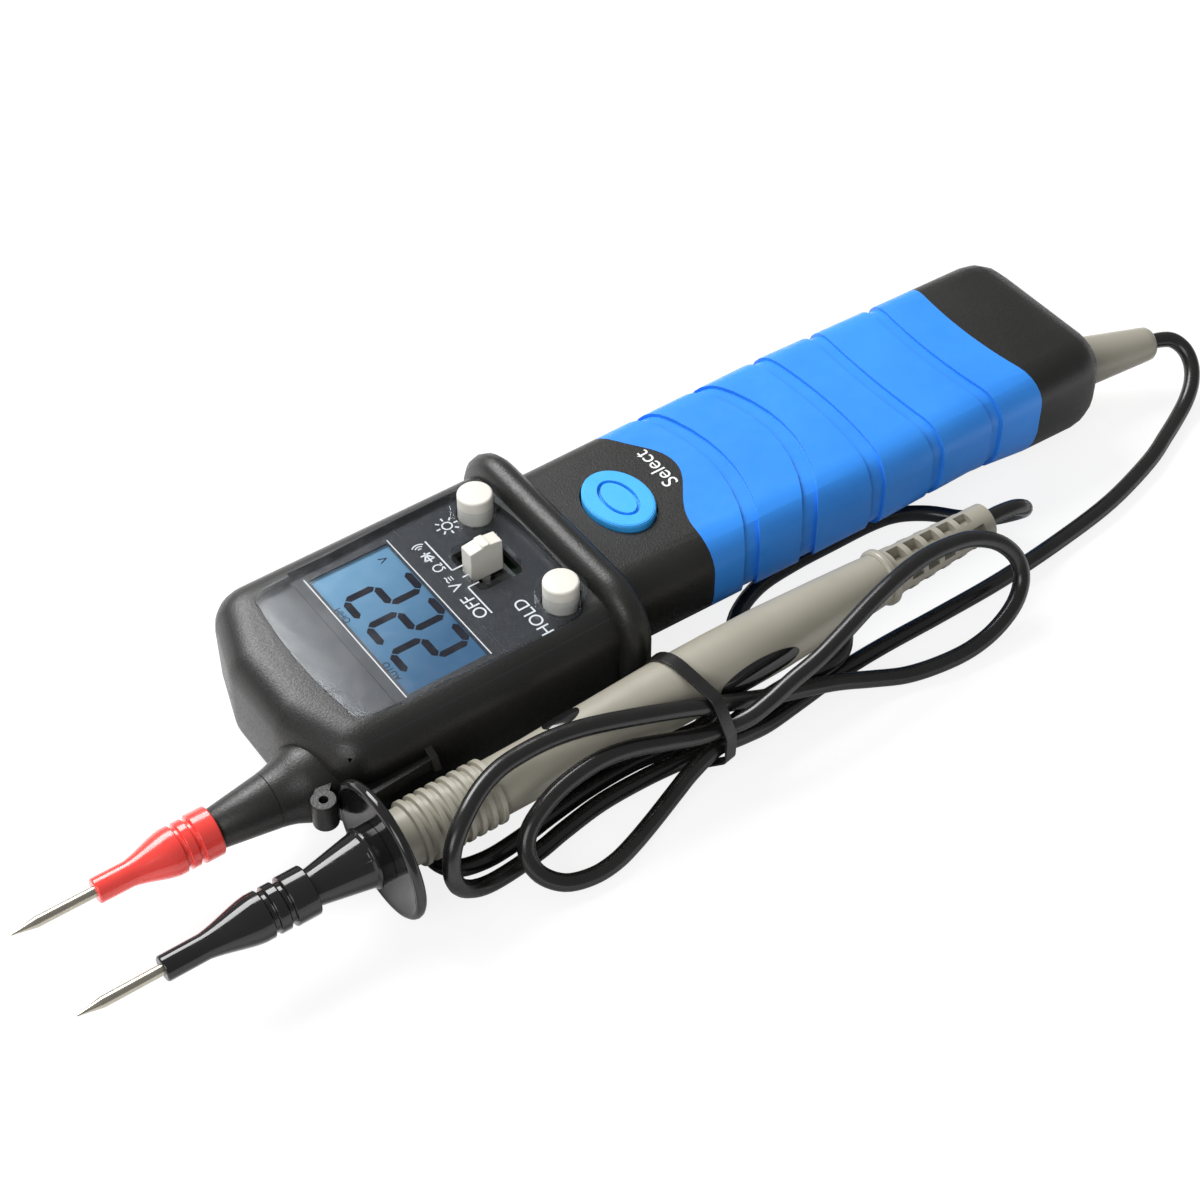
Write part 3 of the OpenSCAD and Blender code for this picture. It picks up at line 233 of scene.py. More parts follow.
# %% [markdown]
# The needles are plated steel. Cut rings would cost thousands of faces for lines that are hardly
# seen, so a wave along X in the bump stands for what turning leaves round them.

# %% Steel
steel = Finish("steel")
rings = steel.node("ShaderNodeTexWave", {"wave_type": "BANDS", "bands_direction": "X"},
    {"Vector": steel.place, "Scale": 700.0, "Distortion": 0.6, "Detail": 1.0})
steel.shine(
    Base_Color=steel.blend(steel.noise(0.3, 3), colour(166, 161, 148), colour(186, 181, 168)),
    Metallic=1.0, Roughness=steel.spread(steel.noise(0.5, 3), 0.3, 0.7, 0.24, 0.3),
    Normal=steel.bump(rings, 0.0005, 0.03))

# %% [markdown]
# The lead's sheath and the tie round the bundle are soft plastic: dark and slightly waxy. A deep
# bump would make them look like cloth, but such a sheath is pressed out of a smooth die, so the
# bump is very faint.

# %% Sheath and tie
cord_sheath = Finish("cord_sheath")
cord_sheath.shine(
    Base_Color=cord_sheath.blend(cord_sheath.noise(0.15, 2), colour(22, 22, 22),
        colour(31, 31, 30)),
    Roughness=cord_sheath.spread(cord_sheath.noise(0.5, 4), 0.3, 0.7, 0.2, 0.3),
    Normal=cord_sheath.bump(cord_sheath.noise(0.8, 2), 0.01, 0.12))

# %% [markdown]
# The cover over the face is clear plastic. Real glass in a renderer bends the light and darkens
# what lies below. Here the light passes straight on, and a mirror over it grows stronger at flat
# angles, as it does on the real cover. The back of each face mirrors nothing.

# %% Clear lens
lens = Finish("lens_clear")
edge = lens.node("ShaderNodeFresnel", {}, {"IOR": 1.5})
behind = lens.node("ShaderNodeNewGeometry", {}, {}, "Backfacing")
clear = lens.node("ShaderNodeBsdfTransparent", {}, {"Color": (0.93, 0.94, 0.95, 1)})
lens.shine(Base_Color=(0.9, 0.92, 0.95, 1), Metallic=1.0,
    Roughness=lens.spread(lens.noise(0.3, 3), 0.4, 0.7, 0.1, 0.16),
    Normal=lens.bump(lens.noise(0.12, 1), 0.02, 0.5))
mixed = lens.node("ShaderNodeMixShader", {}, {0: (edge + 0.01) * 0.8 * (1 - behind), 1: clear,
    2: Term(lens, lens.surface.outputs[0])})
lens.put(lens.output.inputs["Surface"], mixed)

# %% [markdown]
# The display is blue-grey, with painted light on it: its colour grows brighter towards the corner
# that the light reaches first. An image could hold its segments and the white print under the
# cover, but it would blur close up. They are thin plates of their own, and only need an ink each.

# %% Display, segments and print
display = Finish("display")
slant = display.axis("Y") + display.axis("X") * -0.6
# painted light: the base colour brightens along this slant, towards the corner the light reaches
painted_light = display.spread(slant, 0.008, 0.045, 0, 1)
display.shine(Base_Color=display.blend(painted_light, colour(60, 100, 134), colour(124, 172, 204)),
    Specular_IOR_Level=0.15,
    Roughness=display.spread(display.noise(0.5, 3), 0.3, 0.7, 0.12, 0.22),
    Normal=display.bump(display.noise(0.3, 1), 0.01, 0.3))
segment_ink = Finish("segment_ink")
segment_ink.shine(
    Base_Color=segment_ink.blend(segment_ink.noise(0.6, 2), colour(5, 7, 22), colour(10, 12, 32)),
    Specular_IOR_Level=0.05, Roughness=0.45)
print_ink = Finish("print_ink")
print_ink.shine(
    Base_Color=print_ink.blend(print_ink.noise(1.2, 3), colour(222, 224, 226),
        colour(240, 241, 242)),
    Roughness=0.5)

# %% [markdown]
# Every piece ends in the same way, so that is written once. Edges that bend less than an angle
# shade softly, and the mesh gets its finish, its body and the CAD nodes that it stands in for.
# A Bevel modifier gives sharp edges the small radius that a moulding has, which catches the
# light. It stays a modifier, so that its width can be tuned.

# %% Finish a piece
def shade(shape, smooth):
    for line in shape.edges:
        line.smooth = line.calc_face_angle(math.pi) < math.radians(smooth)
    for flat in shape.faces:
        flat.smooth = True


def to_mesh(shape, name):
    mesh = bpy.data.meshes.new(name)
    shape.to_mesh(mesh)
    shape.free()
    return mesh


def finish_piece(name, mesh, finish, body, nodes=()):
    piece = bpy.data.objects.new(name, mesh)
    mesh.materials.clear()
    mesh.materials.append(finish.material)
    bpy.context.scene.collection.objects.link(piece)
    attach(piece, body)
    if nodes:
        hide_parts(*nodes)
    print(name, "has", len(mesh.polygons), "faces and rides on", body)
    return piece


def soften(piece, width, sharp=30):
    rounding = piece.modifiers.new("small_radius", "BEVEL")
    rounding.width = width * MM
    rounding.segments = 2
    rounding.limit_method = "ANGLE"
    rounding.angle_limit = math.radians(sharp)


# %% [markdown]
# A piece whose CAD shape is right isn't modelled again. It is copied, its loose triangles are
# merged, and flat areas are joined to single faces, because a bevel can only run round a whole
# face. `lift` is for a piece that needs a small change of shape on the way.

# %% Dress a CAD node
SOFT_EDGE = 34


def dress(node, finish, bevel=0.0, smooth=SOFT_EDGE, lift=None):
    shape = bmesh.new()
    shape.from_mesh(frame["nodes"][node].data)
    bmesh.ops.remove_doubles(shape, verts=shape.verts, dist=0.002 * MM)
    bmesh.ops.dissolve_limit(shape, angle_limit=math.radians(0.6), verts=shape.verts,
        edges=shape.edges)
    if lift:
        lift(shape)
    shade(shape, smooth)
    name = node + "_dressed"
    piece = finish_piece(name, to_mesh(shape, name), finish, BODIES[node], [node])
    if bevel:
        soften(piece, bevel, 38)


# %% [markdown]
# What lies inside the case can't be seen, but the object holds it. Those nodes keep their CAD
# shapes, and only get a finish, which is all that a hidden piece needs.

# %% Carried-over nodes
carried = {"circuit_board": board, "buzzer": gloss, "slide_switch": gloss,
    "lcd_connectors": gloss, "lcd_backlight": ivory, "key_switches": steel, "cells": steel,
    "battery_contacts": steel, "case_screws": steel, "cover_screw": steel}
for node, finish in carried.items():
    held = frame["nodes"][node]
    held.data.materials.clear()
    held.data.materials.append(finish.material)
    print(node, "keeps its CAD shape in", finish.material.name)

# %% [markdown]
# The head carries the cover over its whole face. The photograph shows its front flatter than the
# solid has it, with fuller corners. Cutting it anew would lose the collars round the buttons, so
# the corners of the mesh are moved: those of the cover's front and of the recess that holds it, by
# the same rule, so that the gap between the two stays even.

# %% Housings and keys
recess_x, recess_z, recess_half = (-53.45, -46.9), (23.5, 25.2), 18.57
forward_middle, forward_side, side_at = 1.8, 2.3, 16


def draw_forward(shape):
    for corner in shape.verts:
        x, y, z = corner.co / MM
        inside = recess_x[0] < x < recess_x[1] and recess_z[0] < z < recess_z[1]
        if inside and abs(y) < recess_half:
            corner.co.x -= (forward_middle + forward_side * min(1, (y / side_at) ** 2)) * MM


dress("upper_case", case, 0.25, lift=draw_forward)
dress("lower_case", case, 0.25)
dress("lcd_frame", case)
dress("battery_cover", case, 0.2)
dress("grip_upper", grip, 0.25)
dress("grip_lower", grip, 0.25)
dress("hold_button", ivory)
dress("light_button", ivory)
dress("switch_knob", ivory, 0.3)
dress("select_button", select_key, 0.15)
dress("lcd_glass", display)

# %% [markdown]
# Behind its cap the loose probe is a shaft, a guard disc that keeps fingers off the needle, a
# ringed sleeve, a barrel of two halves and a collar. Their solids are round and right already. The
# disc has a soft rim, so it shades softly up to 50 degrees.

# %% Dressed pieces of the loose probe
dress("lead_shaft", gloss, 0.1)
dress("finger_guard", gloss, smooth=50)
dress("lead_sleeve", grey, 0.08)
dress("lead_barrel_upper", grey, 0.1)
dress("lead_barrel_lower", grey, 0.1)
dress("lead_collar", grey, 0.15)
dress("lead_tie", cord_sheath, 0.1)

# %% [markdown]
# Caps, needles and reliefs are round, as parts from a lathe are. A profile is drawn once, as pairs
# of the distance along the axis and the radius, and the Spin operator turns it. The profile runs
# round the material, so a piece with a bore closes on itself. Where it meets the axis, the turned
# copies of that corner are merged into a single pole.

# %% Turning
def turned(shape, profile, start, way=(1, 0, 0), sides=72, across=(0, 0, 1)):
    axis = Vector(way).normalized()
    side = Vector(across).cross(axis).normalized()
    up = axis.cross(side)
    earlier = set(shape.verts)
    line = [shape.verts.new((Vector(start) + axis * along + up * radius) * MM)
        for along, radius in profile]
    ends = [*line[1:], line[0]] if profile[0][1] else line[1:]
    edges = [shape.edges.new(pair) for pair in zip(line, ends)]
    bmesh.ops.spin(shape, geom=[*line, *edges], cent=Vector(start) * MM, axis=axis,
        angle=2 * math.pi, steps=sides, use_merge=True)
    bmesh.ops.remove_doubles(shape, dist=0.001 * MM,
        verts=[corner for corner in shape.verts if corner not in earlier])
    return [corner for corner in shape.verts if corner not in earlier]


# %% [markdown]
# Pieces that aren't round start as one flat face that is extruded upwards. Whatever operators made
# a shape, its faces may look inwards at the end, so they are turned outwards before it is shaded.

# %% Raising and shading
def raise_up(shape, corners, height):
    flat = shape.faces.new([shape.verts.new(Vector(corner) * MM) for corner in corners])
    raised = bmesh.ops.extrude_face_region(shape, geom=[flat])
    bmesh.ops.translate(shape, vec=(0, 0, height * MM),
        verts=[item for item in raised["geom"] if isinstance(item, bmesh.types.BMVert)])


def prism(shape, outline, low, high):
    raise_up(shape, [(*corner, low) for corner in outline], high - low)


def outwards(shape, name):
    bmesh.ops.recalc_face_normals(shape, faces=shape.faces)
    return to_mesh(shape, name)


def shaded(shape, name, smooth=SOFT_EDGE):
    bmesh.ops.recalc_face_normals(shape, faces=shape.faces)
    shade(shape, smooth)
    return to_mesh(shape, name)


# %% [markdown]
# The fixed probe stands in front of the head. Its cap is a short tube that widens in a soft slope
# and ends in three rings. The loose probe has the same cap in black and longer, so the profile is a
# function of the length. Where solids would show a straight cone, a cosine eases both of its ends.

# %% Profiles of the caps and needles
bore = 1.03
tube_radius, ring_radius, last_ring_radius, chamfer = 2.35, 4.4, 4.6, 0.2
tube_share, slope_share, second_ring_share, last_ring_share = 0.28, 0.62, 0.73, 0.84
ring_share, groove_depth, ease = 0.066, 0.55, 0.4


def cap_profile(length):
    front, shoulder = tube_share * length, slope_share * length
    line = [(0, bore), (0, 2.1), (0.25, tube_radius), (front, tube_radius)]
    for step in range(1, 9):
        t = step / 8
        rise = t + ease * ((1 - math.cos(math.pi * t)) / 2 - t)
        line.append((front + (shoulder - front) * t,
            tube_radius + (ring_radius - tube_radius) * rise))
    for place, following, wider in ((slope_share, second_ring_share, ring_radius),
            (second_ring_share, last_ring_share, last_ring_radius)):
        ring_end, floor_radius = (place + ring_share) * length, ring_radius - groove_depth
        line += [(ring_end, ring_radius), (ring_end + chamfer, floor_radius),
            (following * length - chamfer, floor_radius), (following * length, wider)]
    return [*line, (length - chamfer, last_ring_radius), (length, ring_radius), (length, bore)]


def needle_profile(length):
    return [(0, 0), (0.1, 0.16), (0.7, 0.24), (2.2, 0.52), (3.6, 0.82), (4.6, 1.0),
        (length, 1.0), (length, 0)]


# %% [markdown]
# Now the cap, the needle and the barrel of the fixed probe. The barrel widens slowly at first and
# then sweeps out into the corner of the head. A straight cone there would look like a funnel, so
# its profile has more points where it bends.

# %% Fixed probe
root = BODIES["probe_cap"]
cap_front, cap_length, probe_y, probe_z = -104.5, 22.7, -15.0, 12.4
needle_ahead, needle_length = 15.4, 61.3
barrel_profile = [(0, bore), (0, 3.5), (0.3, 3.75), (10.4, 5.15), (10.9, 5.2), (11.0, 5.1),
    (11.1, 5.25), (12.4, 5.5), (13.8, 5.9), (15.2, 6.5), (16.4, 7.05), (17.6, 7.45), (20, 7.7),
    (25, 7.7), (25, 7.2), (17.2, 5.4), (17.2, bore)]


def round_piece(node, profile, start, way, finish, smooth=SOFT_EDGE):
    shape = bmesh.new()
    turned(shape, profile, start, way)
    name = node + "_turned"
    return finish_piece(name, shaded(shape, name, smooth), finish, root, [node])


soften(round_piece("probe_cap", cap_profile(cap_length), (cap_front, probe_y, probe_z),
    (1, 0, 0), red), 0.08)
round_piece("probe_needle", needle_profile(needle_length),
    (cap_front - needle_ahead, probe_y, probe_z), (1, 0, 0), steel)
round_piece("probe_barrel", barrel_profile, (cap_front + cap_length, probe_y, probe_z),
    (1, 0, 0), case, 40)

# %% [markdown]
# The loose probe lies along the meter, a little above the table. It leans by less than a degree,
# which turning each object would hide. Its pieces are measured along its own axis instead, from
# the middle of the guard disc, and `on_probe` gives the point there.

# %% Loose probe
loose_start = Vector((-60.3, -36.1, 13.33))
loose_way = Vector((1, -0.00175, 0.00698)).normalized()


def on_probe(along):
    return loose_start + loose_way * along


soften(round_piece("lead_cap", cap_profile(27.8), on_probe(-42.7), loose_way, gloss), 0.12)
round_piece("lead_needle", needle_profile(57.0), on_probe(-58.1), loose_way, steel)

# %% [markdown]
# Two black inlays sit in the barrel and stand out of it by a third of a millimetre. A flat oval
# wouldn't follow the barrel, which bulges. So a round button is turned, with rings of faces across
# it, and each of its corners is then moved onto the barrel, stretched to an oval on the way.

# %% Inlays in the barrel
barrel_start, barrel_long, barrel_wide = 22.3, 86.4, 6.5
barrel_line = [(barrel_start + barrel_long * share, barrel_wide * wide) for share, wide in (
    (0, 0.82), (0.1, 0.83), (0.25, 0.91), (0.42, 0.99), (0.56, 1), (0.7, 0.98), (0.85, 0.89),
    (0.96, 0.81), (1, 0.77))]


def barrel_radius(along):
    for (start, first), (end, last) in zip(barrel_line, barrel_line[1:]):
        if along <= end:
            return first + (last - first) * (along - start) / (end - start)
    return barrel_line[-1][1]


def inlay(shape, place, angle, length, width, proud=0.35, sunk=0.5, rings_out=5):
    shares = [ring / rings_out for ring in range(rings_out + 1)]
    button = [(1, share) for share in shares] + [(0, share) for share in reversed(shares)]
    for corner in turned(shape, button, (0, 0, 0), (0, 0, 1), 48, (1, 0, 0)):
        x, y, layer = corner.co / MM
        along = place + x * length / 2
        radius = barrel_radius(along)
        around = math.radians(angle) + y * width / 2 / radius
        dome = proud * (1 - 0.5 * math.hypot(x, y) ** 4)
        reach = radius + dome if layer > 0.5 else radius - sunk
        away = Vector((0, math.sin(around), math.cos(around)))
        corner.co = (on_probe(along) + away * reach) * MM


inlays = bmesh.new()
inlay(inlays, 38.4, 30, 7.6, 4.6)
inlay(inlays, 76, -80, 18, 5.2)
finish_piece("grip_inlays_laid", shaded(inlays, "grip_inlays_laid"), gloss, root,
    ["grip_inlays"])

# %% [markdown]
# The relief behind the barrel lets the lead bend gently: it has windows down six sides, each row
# half a step behind the next. Thirty boxes could be cut out of a cone, but cuts leave long thin
# faces. Here the cone is turned with a ring of edges at each end of each window, and the faces
# between them are extruded towards the axis, which gives floors and walls in one go. The extrusion
# leaves its first faces where they were, so those are deleted, or they would close the windows.

# %% Windowed relief
relief_start, relief_long, relief_wide, relief_taper = on_probe(110.7), 24.8, 4.8, 1.1
first_window, window_pitch, window_half, window_floor = 2.4, 4.1, 1.4, 2.4
side_angle, window_angle = 60, 20
windows = {side: [first_window + window_pitch * (i + side % 2 / 2) for i in range(5)]
    for side in range(6)}
stations = sorted({0, relief_long, *(round(middle + half, 3) for side in windows
    for middle in windows[side] for half in (-window_half, window_half))})


def off_axis(point):
    middle = point / MM - relief_start
    along = middle.dot(loose_way)
    return along, middle - loose_way * along


def in_window(flat):
    along, away = off_axis(flat.calc_center_median())
    angle = math.degrees(math.atan2(away.y, away.z)) % 360
    side = round(angle / side_angle) % 6
    off_side = abs(angle - side_angle * side)
    return (len(flat.verts) == 4 and min(off_side, 360 - off_side) < window_angle
        and any(abs(along - spot) < window_half for spot in windows[side]))


relief = bmesh.new()
slope = [(along, relief_wide - relief_taper * along / relief_long) for along in stations]
turned(relief, [(0, 0), *slope, (relief_long, 0)], relief_start, loose_way, 36)
bmesh.ops.recalc_face_normals(relief, faces=relief.faces)
opened = [flat for flat in relief.faces if in_window(flat)]
for item in bmesh.ops.extrude_face_region(relief, geom=opened)["geom"]:
    if isinstance(item, bmesh.types.BMVert):
        along, away = off_axis(item.co)
        item.co = (relief_start + loose_way * along + away.normalized() * window_floor) * MM
bmesh.ops.delete(relief, geom=[flat for flat in opened if flat.is_valid], context="FACES_ONLY")
finish_piece("lead_relief_turned", shaded(relief, "lead_relief_turned", 32), grey, root,
    ["lead_relief"])

# %% [markdown]
# The meter has a strain relief of its own, a plain taper with a collar. It leaves the end of the
# handle at an angle, towards the loose probe, so the way that it is turned along is given by that
# angle.

# %% Meter strain relief
relief_turn = math.radians(-13)
round_piece("strain_relief", [(-1.6, 0), (-1.6, 6.9), (0, 6.9), (0, 5.7), (4.4, 5.7),
    (22.8, 3.65), (23.8, 3.5), (24.5, 3.0), (24.9, 2.2), (24.9, 0)], (119.1, -7.8, 10),
    (math.cos(relief_turn), math.sin(relief_turn), 0), grey)

# %% [markdown]
# A clip on the side of the head takes the loose probe's barrel. It is a shelf with a low wall, a
# lug with an upright eye in front, and a fin behind. The moulding has no smooth curves but the
# eye, so the shelf, the wall and the lug are flat outlines that are raised, and the fin is a cube
# whose upper corners are drawn in.

# %% Probe holder
fin_front, fin_rear, fin_root = -44.9, -43.5, -21.5
shelf_low, shelf_top = 14.8, 16.2
holder = bmesh.new()
prism(holder, [(-60.5, -21), (-58.9, -28.2), (-43.5, -27.1), (-43.5, -21)], shelf_low, shelf_top)
prism(holder, [(-58.9, -27.1), (-58.9, -28.2), (-43.5, -27.1), (-43.5, -26)], 16.1, 17.4)
prism(holder, [(-62.9, -22.8), (-61.6, -21.4), (-60, -20), (-61.5, -19), (-64.4, -20.6),
    (-66.6, -22.8)], shelf_low, 17)
turned(holder, [(0, 0.8), (0, 2.2), (0.15, 2.35), (5.85, 2.35), (6, 2.2), (6, 0.8)],
    (-64.75, -24, 11.4), (0, 0, 1), 48, (1, 0, 0))
for corner in bmesh.ops.create_cube(holder, size=1)["verts"]:
    high, out = corner.co.z > 0, corner.co.y < 0
    tip_y, top_z = (-27.1, 17.4) if high and out else (-28.2, 20)
    corner.co = Vector((fin_rear if corner.co.x > 0 else fin_front, tip_y if out else fin_root,
        top_z if high else shelf_low)) * MM
soften(finish_piece("probe_holder_made", shaded(holder, "probe_holder_made"), case, root,
    ["probe_holder"]), 0.08)

# %% [markdown]
# The clear cover touches the face that it lies on. Two surfaces in one plane flicker, and the
# print needs room, so its underside is raised by a tenth of a millimetre. Its top stands a little
# proud, as the photograph shows.

# %% Lens
lens_low, lens_low_raised, lens_top, lens_top_raised = 0.02361, 0.0237, 0.0251, 0.0254


def seat_lens(shape):
    draw_forward(shape)
    for corner in shape.verts:
        if corner.co.z < lens_low:
            corner.co.z = lens_low_raised
        elif abs(corner.co.z - lens_top) < 0.05 * MM:
            corner.co.z = lens_top_raised


dress("lens", lens, 0.4, lift=seat_lens)

# %% [markdown]
# The lead runs from the meter to the loose probe, in two loops on each side of the tie. A cloth or
# rope simulation would lay it somewhere else on each machine. It is one curve with a round section
# instead. Its points follow the route in the part's source, with some bends eased and both ends led
# into the reliefs, and a smooth line passes through each of them without a corner.

# %% Route of the lead
cord_route = [[142.42, -13.2, 10], [145.2, -13.84, 10], [147.8, -15.3, 9.7], [149, -18, 8.4],
    [148.4, -21, 6.5], [146.2, -23.7, 4.6], [142.8, -25.9, 3], [138.4, -28, 2.1],
    [132.6, -30.6, 1.9], [124, -34.2, 1.9], [109.5, -38.2, 1.9], [94, -40.4, 1.9],
    [77, -41.8, 1.9], [61, -42, 1.9], [46, -41.9, 1.9], [35, -42.4, 1.9], [25, -43.6, 1.9],
    [16, -45, 2.6], [9, -46.2, 5], [3, -46.8, 6.8], [-3, -47.4, 4.8], [-8, -48.5, 2.8],
    [-14, -50.6, 2], [-20, -52.8, 1.9], [-25, -54.2, 1.9], [-30, -54.4, 1.9], [-35, -53.2, 2.6],
    [-38.4, -50.6, 4.8], [-39.2, -48, 8], [-37.4, -46, 11.4], [-33, -44.7, 14.2], [-28, -44.1, 16],
    [-21.5, -44, 17], [-15, -44.4, 16.2], [-8, -45.4, 14.2], [-2, -46.2, 12.2], [3, -46.9, 11.6],
    [8, -48.4, 12.6], [12.6, -48.6, 14], [18.6, -47.9, 15.4], [25, -47.4, 16.8], [32, -46, 18.2],
    [39.7, -44.2, 19.6], [46.7, -42.9, 20.7], [54.3, -41.8, 20.9], [61, -41.6, 20.3],
    [67, -42, 18.8], [72.4, -43.4, 15.8], [75.6, -45.6, 11.8], [75.4, -48, 8], [72, -50.2, 5],
    [66, -51.8, 3], [59.5, -52.3, 2], [52.4, -51.8, 1.9], [45.4, -50.2, 1.9], [38.5, -48.2, 3.4],
    [31.6, -46.4, 5.4], [24.4, -45.2, 7.2], [16.2, -44.6, 9.6], [9.4, -44.4, 12.8],
    [3, -44.8, 16.2], [-3.2, -43.8, 18.4], [-10.8, -42.2, 20.2], [-17.4, -40.6, 21.3],
    [-23, -39.3, 21.8], [-28.5, -38.4, 21.8], [-33.8, -38.2, 21.6], [-38.6, -38.8, 21.6],
    [-43.4, -40.4, 21.2], [-48, -42.6, 19.6], [-51.6, -44.6, 16.8], [-53.2, -46, 12.6],
    [-52.6, -46.4, 8.2], [-50, -46, 4.6], [-46, -45.6, 2.4], [-40.5, -45.2, 1.9],
    [-34, -44.4, 1.9], [-28, -43.2, 1.9], [-19, -41.9, 1.9], [-9, -42.2, 2.4], [3, -43.4, 3],
    [10, -42.2, 3.8], [17, -41.4, 4.6], [24.5, -41.4, 5.2], [30.5, -42.2, 5.6], [36, -41.4, 5.6],
    [40, -38, 5.6], [41.2, -33.6, 5.6], [39.2, -29.6, 5.6], [35.2, -27.4, 5.6], [30.4, -27.6, 5.6],
    [25, -29.6, 5.7], [19, -32.6, 5.7], [14.4, -35.2, 5.4], [10, -37.8, 5.5], [3, -41.2, 6.4],
    [-7, -38.9, 5.9], [-17, -36.2, 5.6], [-26, -33.6, 5.5], [-33, -31.2, 5], [-38.6, -29.6, 4.4],
    [-44, -29, 3.5], [-48.6, -30.6, 2.7], [-50.6, -34.8, 2.1], [-48.6, -39, 1.9],
    [-43, -40.6, 1.9], [-35.5, -40.2, 1.9], [-28, -39, 1.9], [-19, -37.9, 1.9], [-9, -37.7, 1.9],
    [3, -39.2, 2.5], [10, -35.8, 1.8], [17, -31, 1.9], [23, -25.4, 1.9], [29, -19.4, 1.9],
    [37, -15.8, 1.9], [46, -14.8, 1.9], [56, -14.8, 1.9], [66, -15, 1.9], [72, -16.2, 1.9],
    [77.4, -19.6, 1.9], [81.4, -25, 2.6], [84.8, -29, 4], [87, -32.2, 6.4], [87.6, -34.8, 9.2],
    [85.8, -36.3, 12], [82.6, -36.5, 13.8], [78.8, -36.36, 14.3], [75.22, -36.34, 14.28]]


def smooth_route(points, steps):
    places = [Vector(point) * MM for point in points]
    places = [2 * places[0] - places[1], *places, 2 * places[-1] - places[-2]]
    line = []
    for before, here, there, after in zip(places, places[1:], places[2:], places[3:]):
        for step in range(steps):
            t = step / steps
            line.append(0.5 * ((2 * here) + (there - before) * t
                + (2 * before - 5 * here + 4 * there - after) * t * t
                + (3 * here - before - 3 * there + after) * t ** 3))
    return [*line, places[-2]]


lead_line = smooth_route(cord_route, 5)
lead_length = sum((b - a).length for a, b in zip(lead_line, lead_line[1:]))
print("lead", round(lead_length, 4), "m")

# %% [markdown]
# The line becomes a curve object, whose bevel depth is the radius of the sheath. A curve keeps its
# section round in every bend, where a mesh that is pushed along a path would flatten.

# %% Lead
lead_radius = 1.65 * MM
lead_curve = bpy.data.curves.new("lead_sheath", "CURVE")
lead_curve.dimensions = "3D"
lead_curve.bevel_depth = lead_radius
lead_curve.bevel_resolution = 5
lead_curve.use_fill_caps = True
strand = lead_curve.splines.new("POLY")
strand.points.add(len(lead_line) - 1)
for point, place in zip(strand.points, lead_line):
    point.co = (*place, 1.0)
strand.use_smooth = True
lead_curve.materials.append(cord_sheath.material)
lead = bpy.data.objects.new("lead_sheath", lead_curve)
bpy.context.scene.collection.objects.link(lead)
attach(lead, BODIES["lead_cord"])
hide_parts("lead_cord")
print("lead has", len(strand.points), "points")

# %% [markdown]
# Segments of the display and lines of the print are flat bars. Each starts as the corners of its
# outline in the plane of the face, and is raised by a few hundredths of a millimetre, so that it
# shows at any distance without flicker. A segment has pointed ends, as the real ones have.

# %% Flat bars
def bar(shape, start, end, width, z, point=0.0):
    first, last = Vector((*start, z)), Vector((*end, z))
    ahead = (last - first).normalized()
    side = Vector((-ahead.y, ahead.x, 0)) * width / 2
    tip = ahead * point
    outline = [first + side, first - side, last - side, last + side]
    if point:
        outline = [first + tip + side, first, first + tip - side, last - tip - side, last,
            last - tip + side]
    raise_up(shape, outline, 0.03)


# %% [markdown]
# The display shows three digits. Each is built from five of the seven bars of such a digit, which
# stop a little short of each other, so that the gaps between the segments show.

# %% Digits on the display
digits = bmesh.new()
glass_z, top_x, low_x = 23.01, -39.9, -26.9
middle_x = (top_x + low_x) / 2
digit_half, gap, segment_width = 2.7, 0.2, 1.5
for centre in (-9.3, -1.4, 6.5):
    left, right = centre - digit_half, centre + digit_half
    for start, end in (
            ((top_x, left + gap), (top_x, right - gap)),
            ((top_x + gap, right), (middle_x - gap, right)),
            ((middle_x, left + gap), (middle_x, right - gap)),
            ((middle_x + gap, left), (low_x - gap, left)),
            ((low_x, left + gap), (low_x, right - gap))):
        bar(digits, start, end, segment_width, glass_z, segment_width / 2)
finish_piece("display_digits", outwards(digits, "display_digits"), segment_ink,
    BODIES["lcd_glass"])

# %% [markdown]
# The legends are printed below the cover, and read across the head. Letters could be drawn bar by
# bar, but Blender has a font. A word starts as a text object and is made a mesh. Only then is it
# turned and put in place, in its mesh, so that the piece itself stays at the origin as all do.

# %% Words
def word(text, x, y, z, size):
    curve = bpy.data.curves.new("word", "FONT")
    curve.body = text
    curve.size = size * MM
    curve.extrude = 0.01 * MM
    curve.align_x = "CENTER"
    curve.align_y = "CENTER"
    sign = bpy.data.objects.new("word", curve)
    bpy.context.scene.collection.objects.link(sign)
    bpy.context.view_layer.update()
    mesh = bpy.data.meshes.new_from_object(
        sign.evaluated_get(bpy.context.evaluated_depsgraph_get()))
    bpy.data.objects.remove(sign)
    mesh.transform(Matrix.Translation(Vector((x, y, z)) * MM)
        @ Matrix.Rotation(math.radians(90), 4, "Z"))
    shape = bmesh.new()
    shape.from_mesh(mesh)
    bmesh.ops.remove_doubles(shape, verts=shape.verts, dist=0.0005 * MM)
    return to_mesh(shape, "spare")


def write(name, words, finish, body):
    whole = bmesh.new()
    for item in words:
        spare = word(*item)
        whole.from_mesh(spare)
        bpy.data.meshes.remove(spare)
    finish_piece(name, outwards(whole, name), finish, body)


face_z, text_z, key_z = 23.63, glass_z + 0.01, 24.47
write("face_words", [("OFF", -21.6, -6.1, face_z, 3.6), ("V", -21.5, 0.1, face_z, 3.4),
    ("~", -22.3, 2.4, face_z, 3.2), ("=", -21.2, 2.4, face_z, 2.4),
    ("Ω", -21.5, 6.0, face_z, 3.0), ("HOLD", -14.4, -14.3, face_z, 3.7)],
    print_ink, BODIES["lens"])
write("display_words", [("AUTO", -41.9, -10.2, text_z, 1.8), ("OHM", -41.9, 6.4, text_z, 1.8),
    ("V", -28.4, 14.2, text_z, 2.4)], segment_ink, BODIES["lcd_glass"])
write("key_word", [("Select", 26.2, 3.6, key_z, 4.6)], print_ink, BODIES["upper_case"])

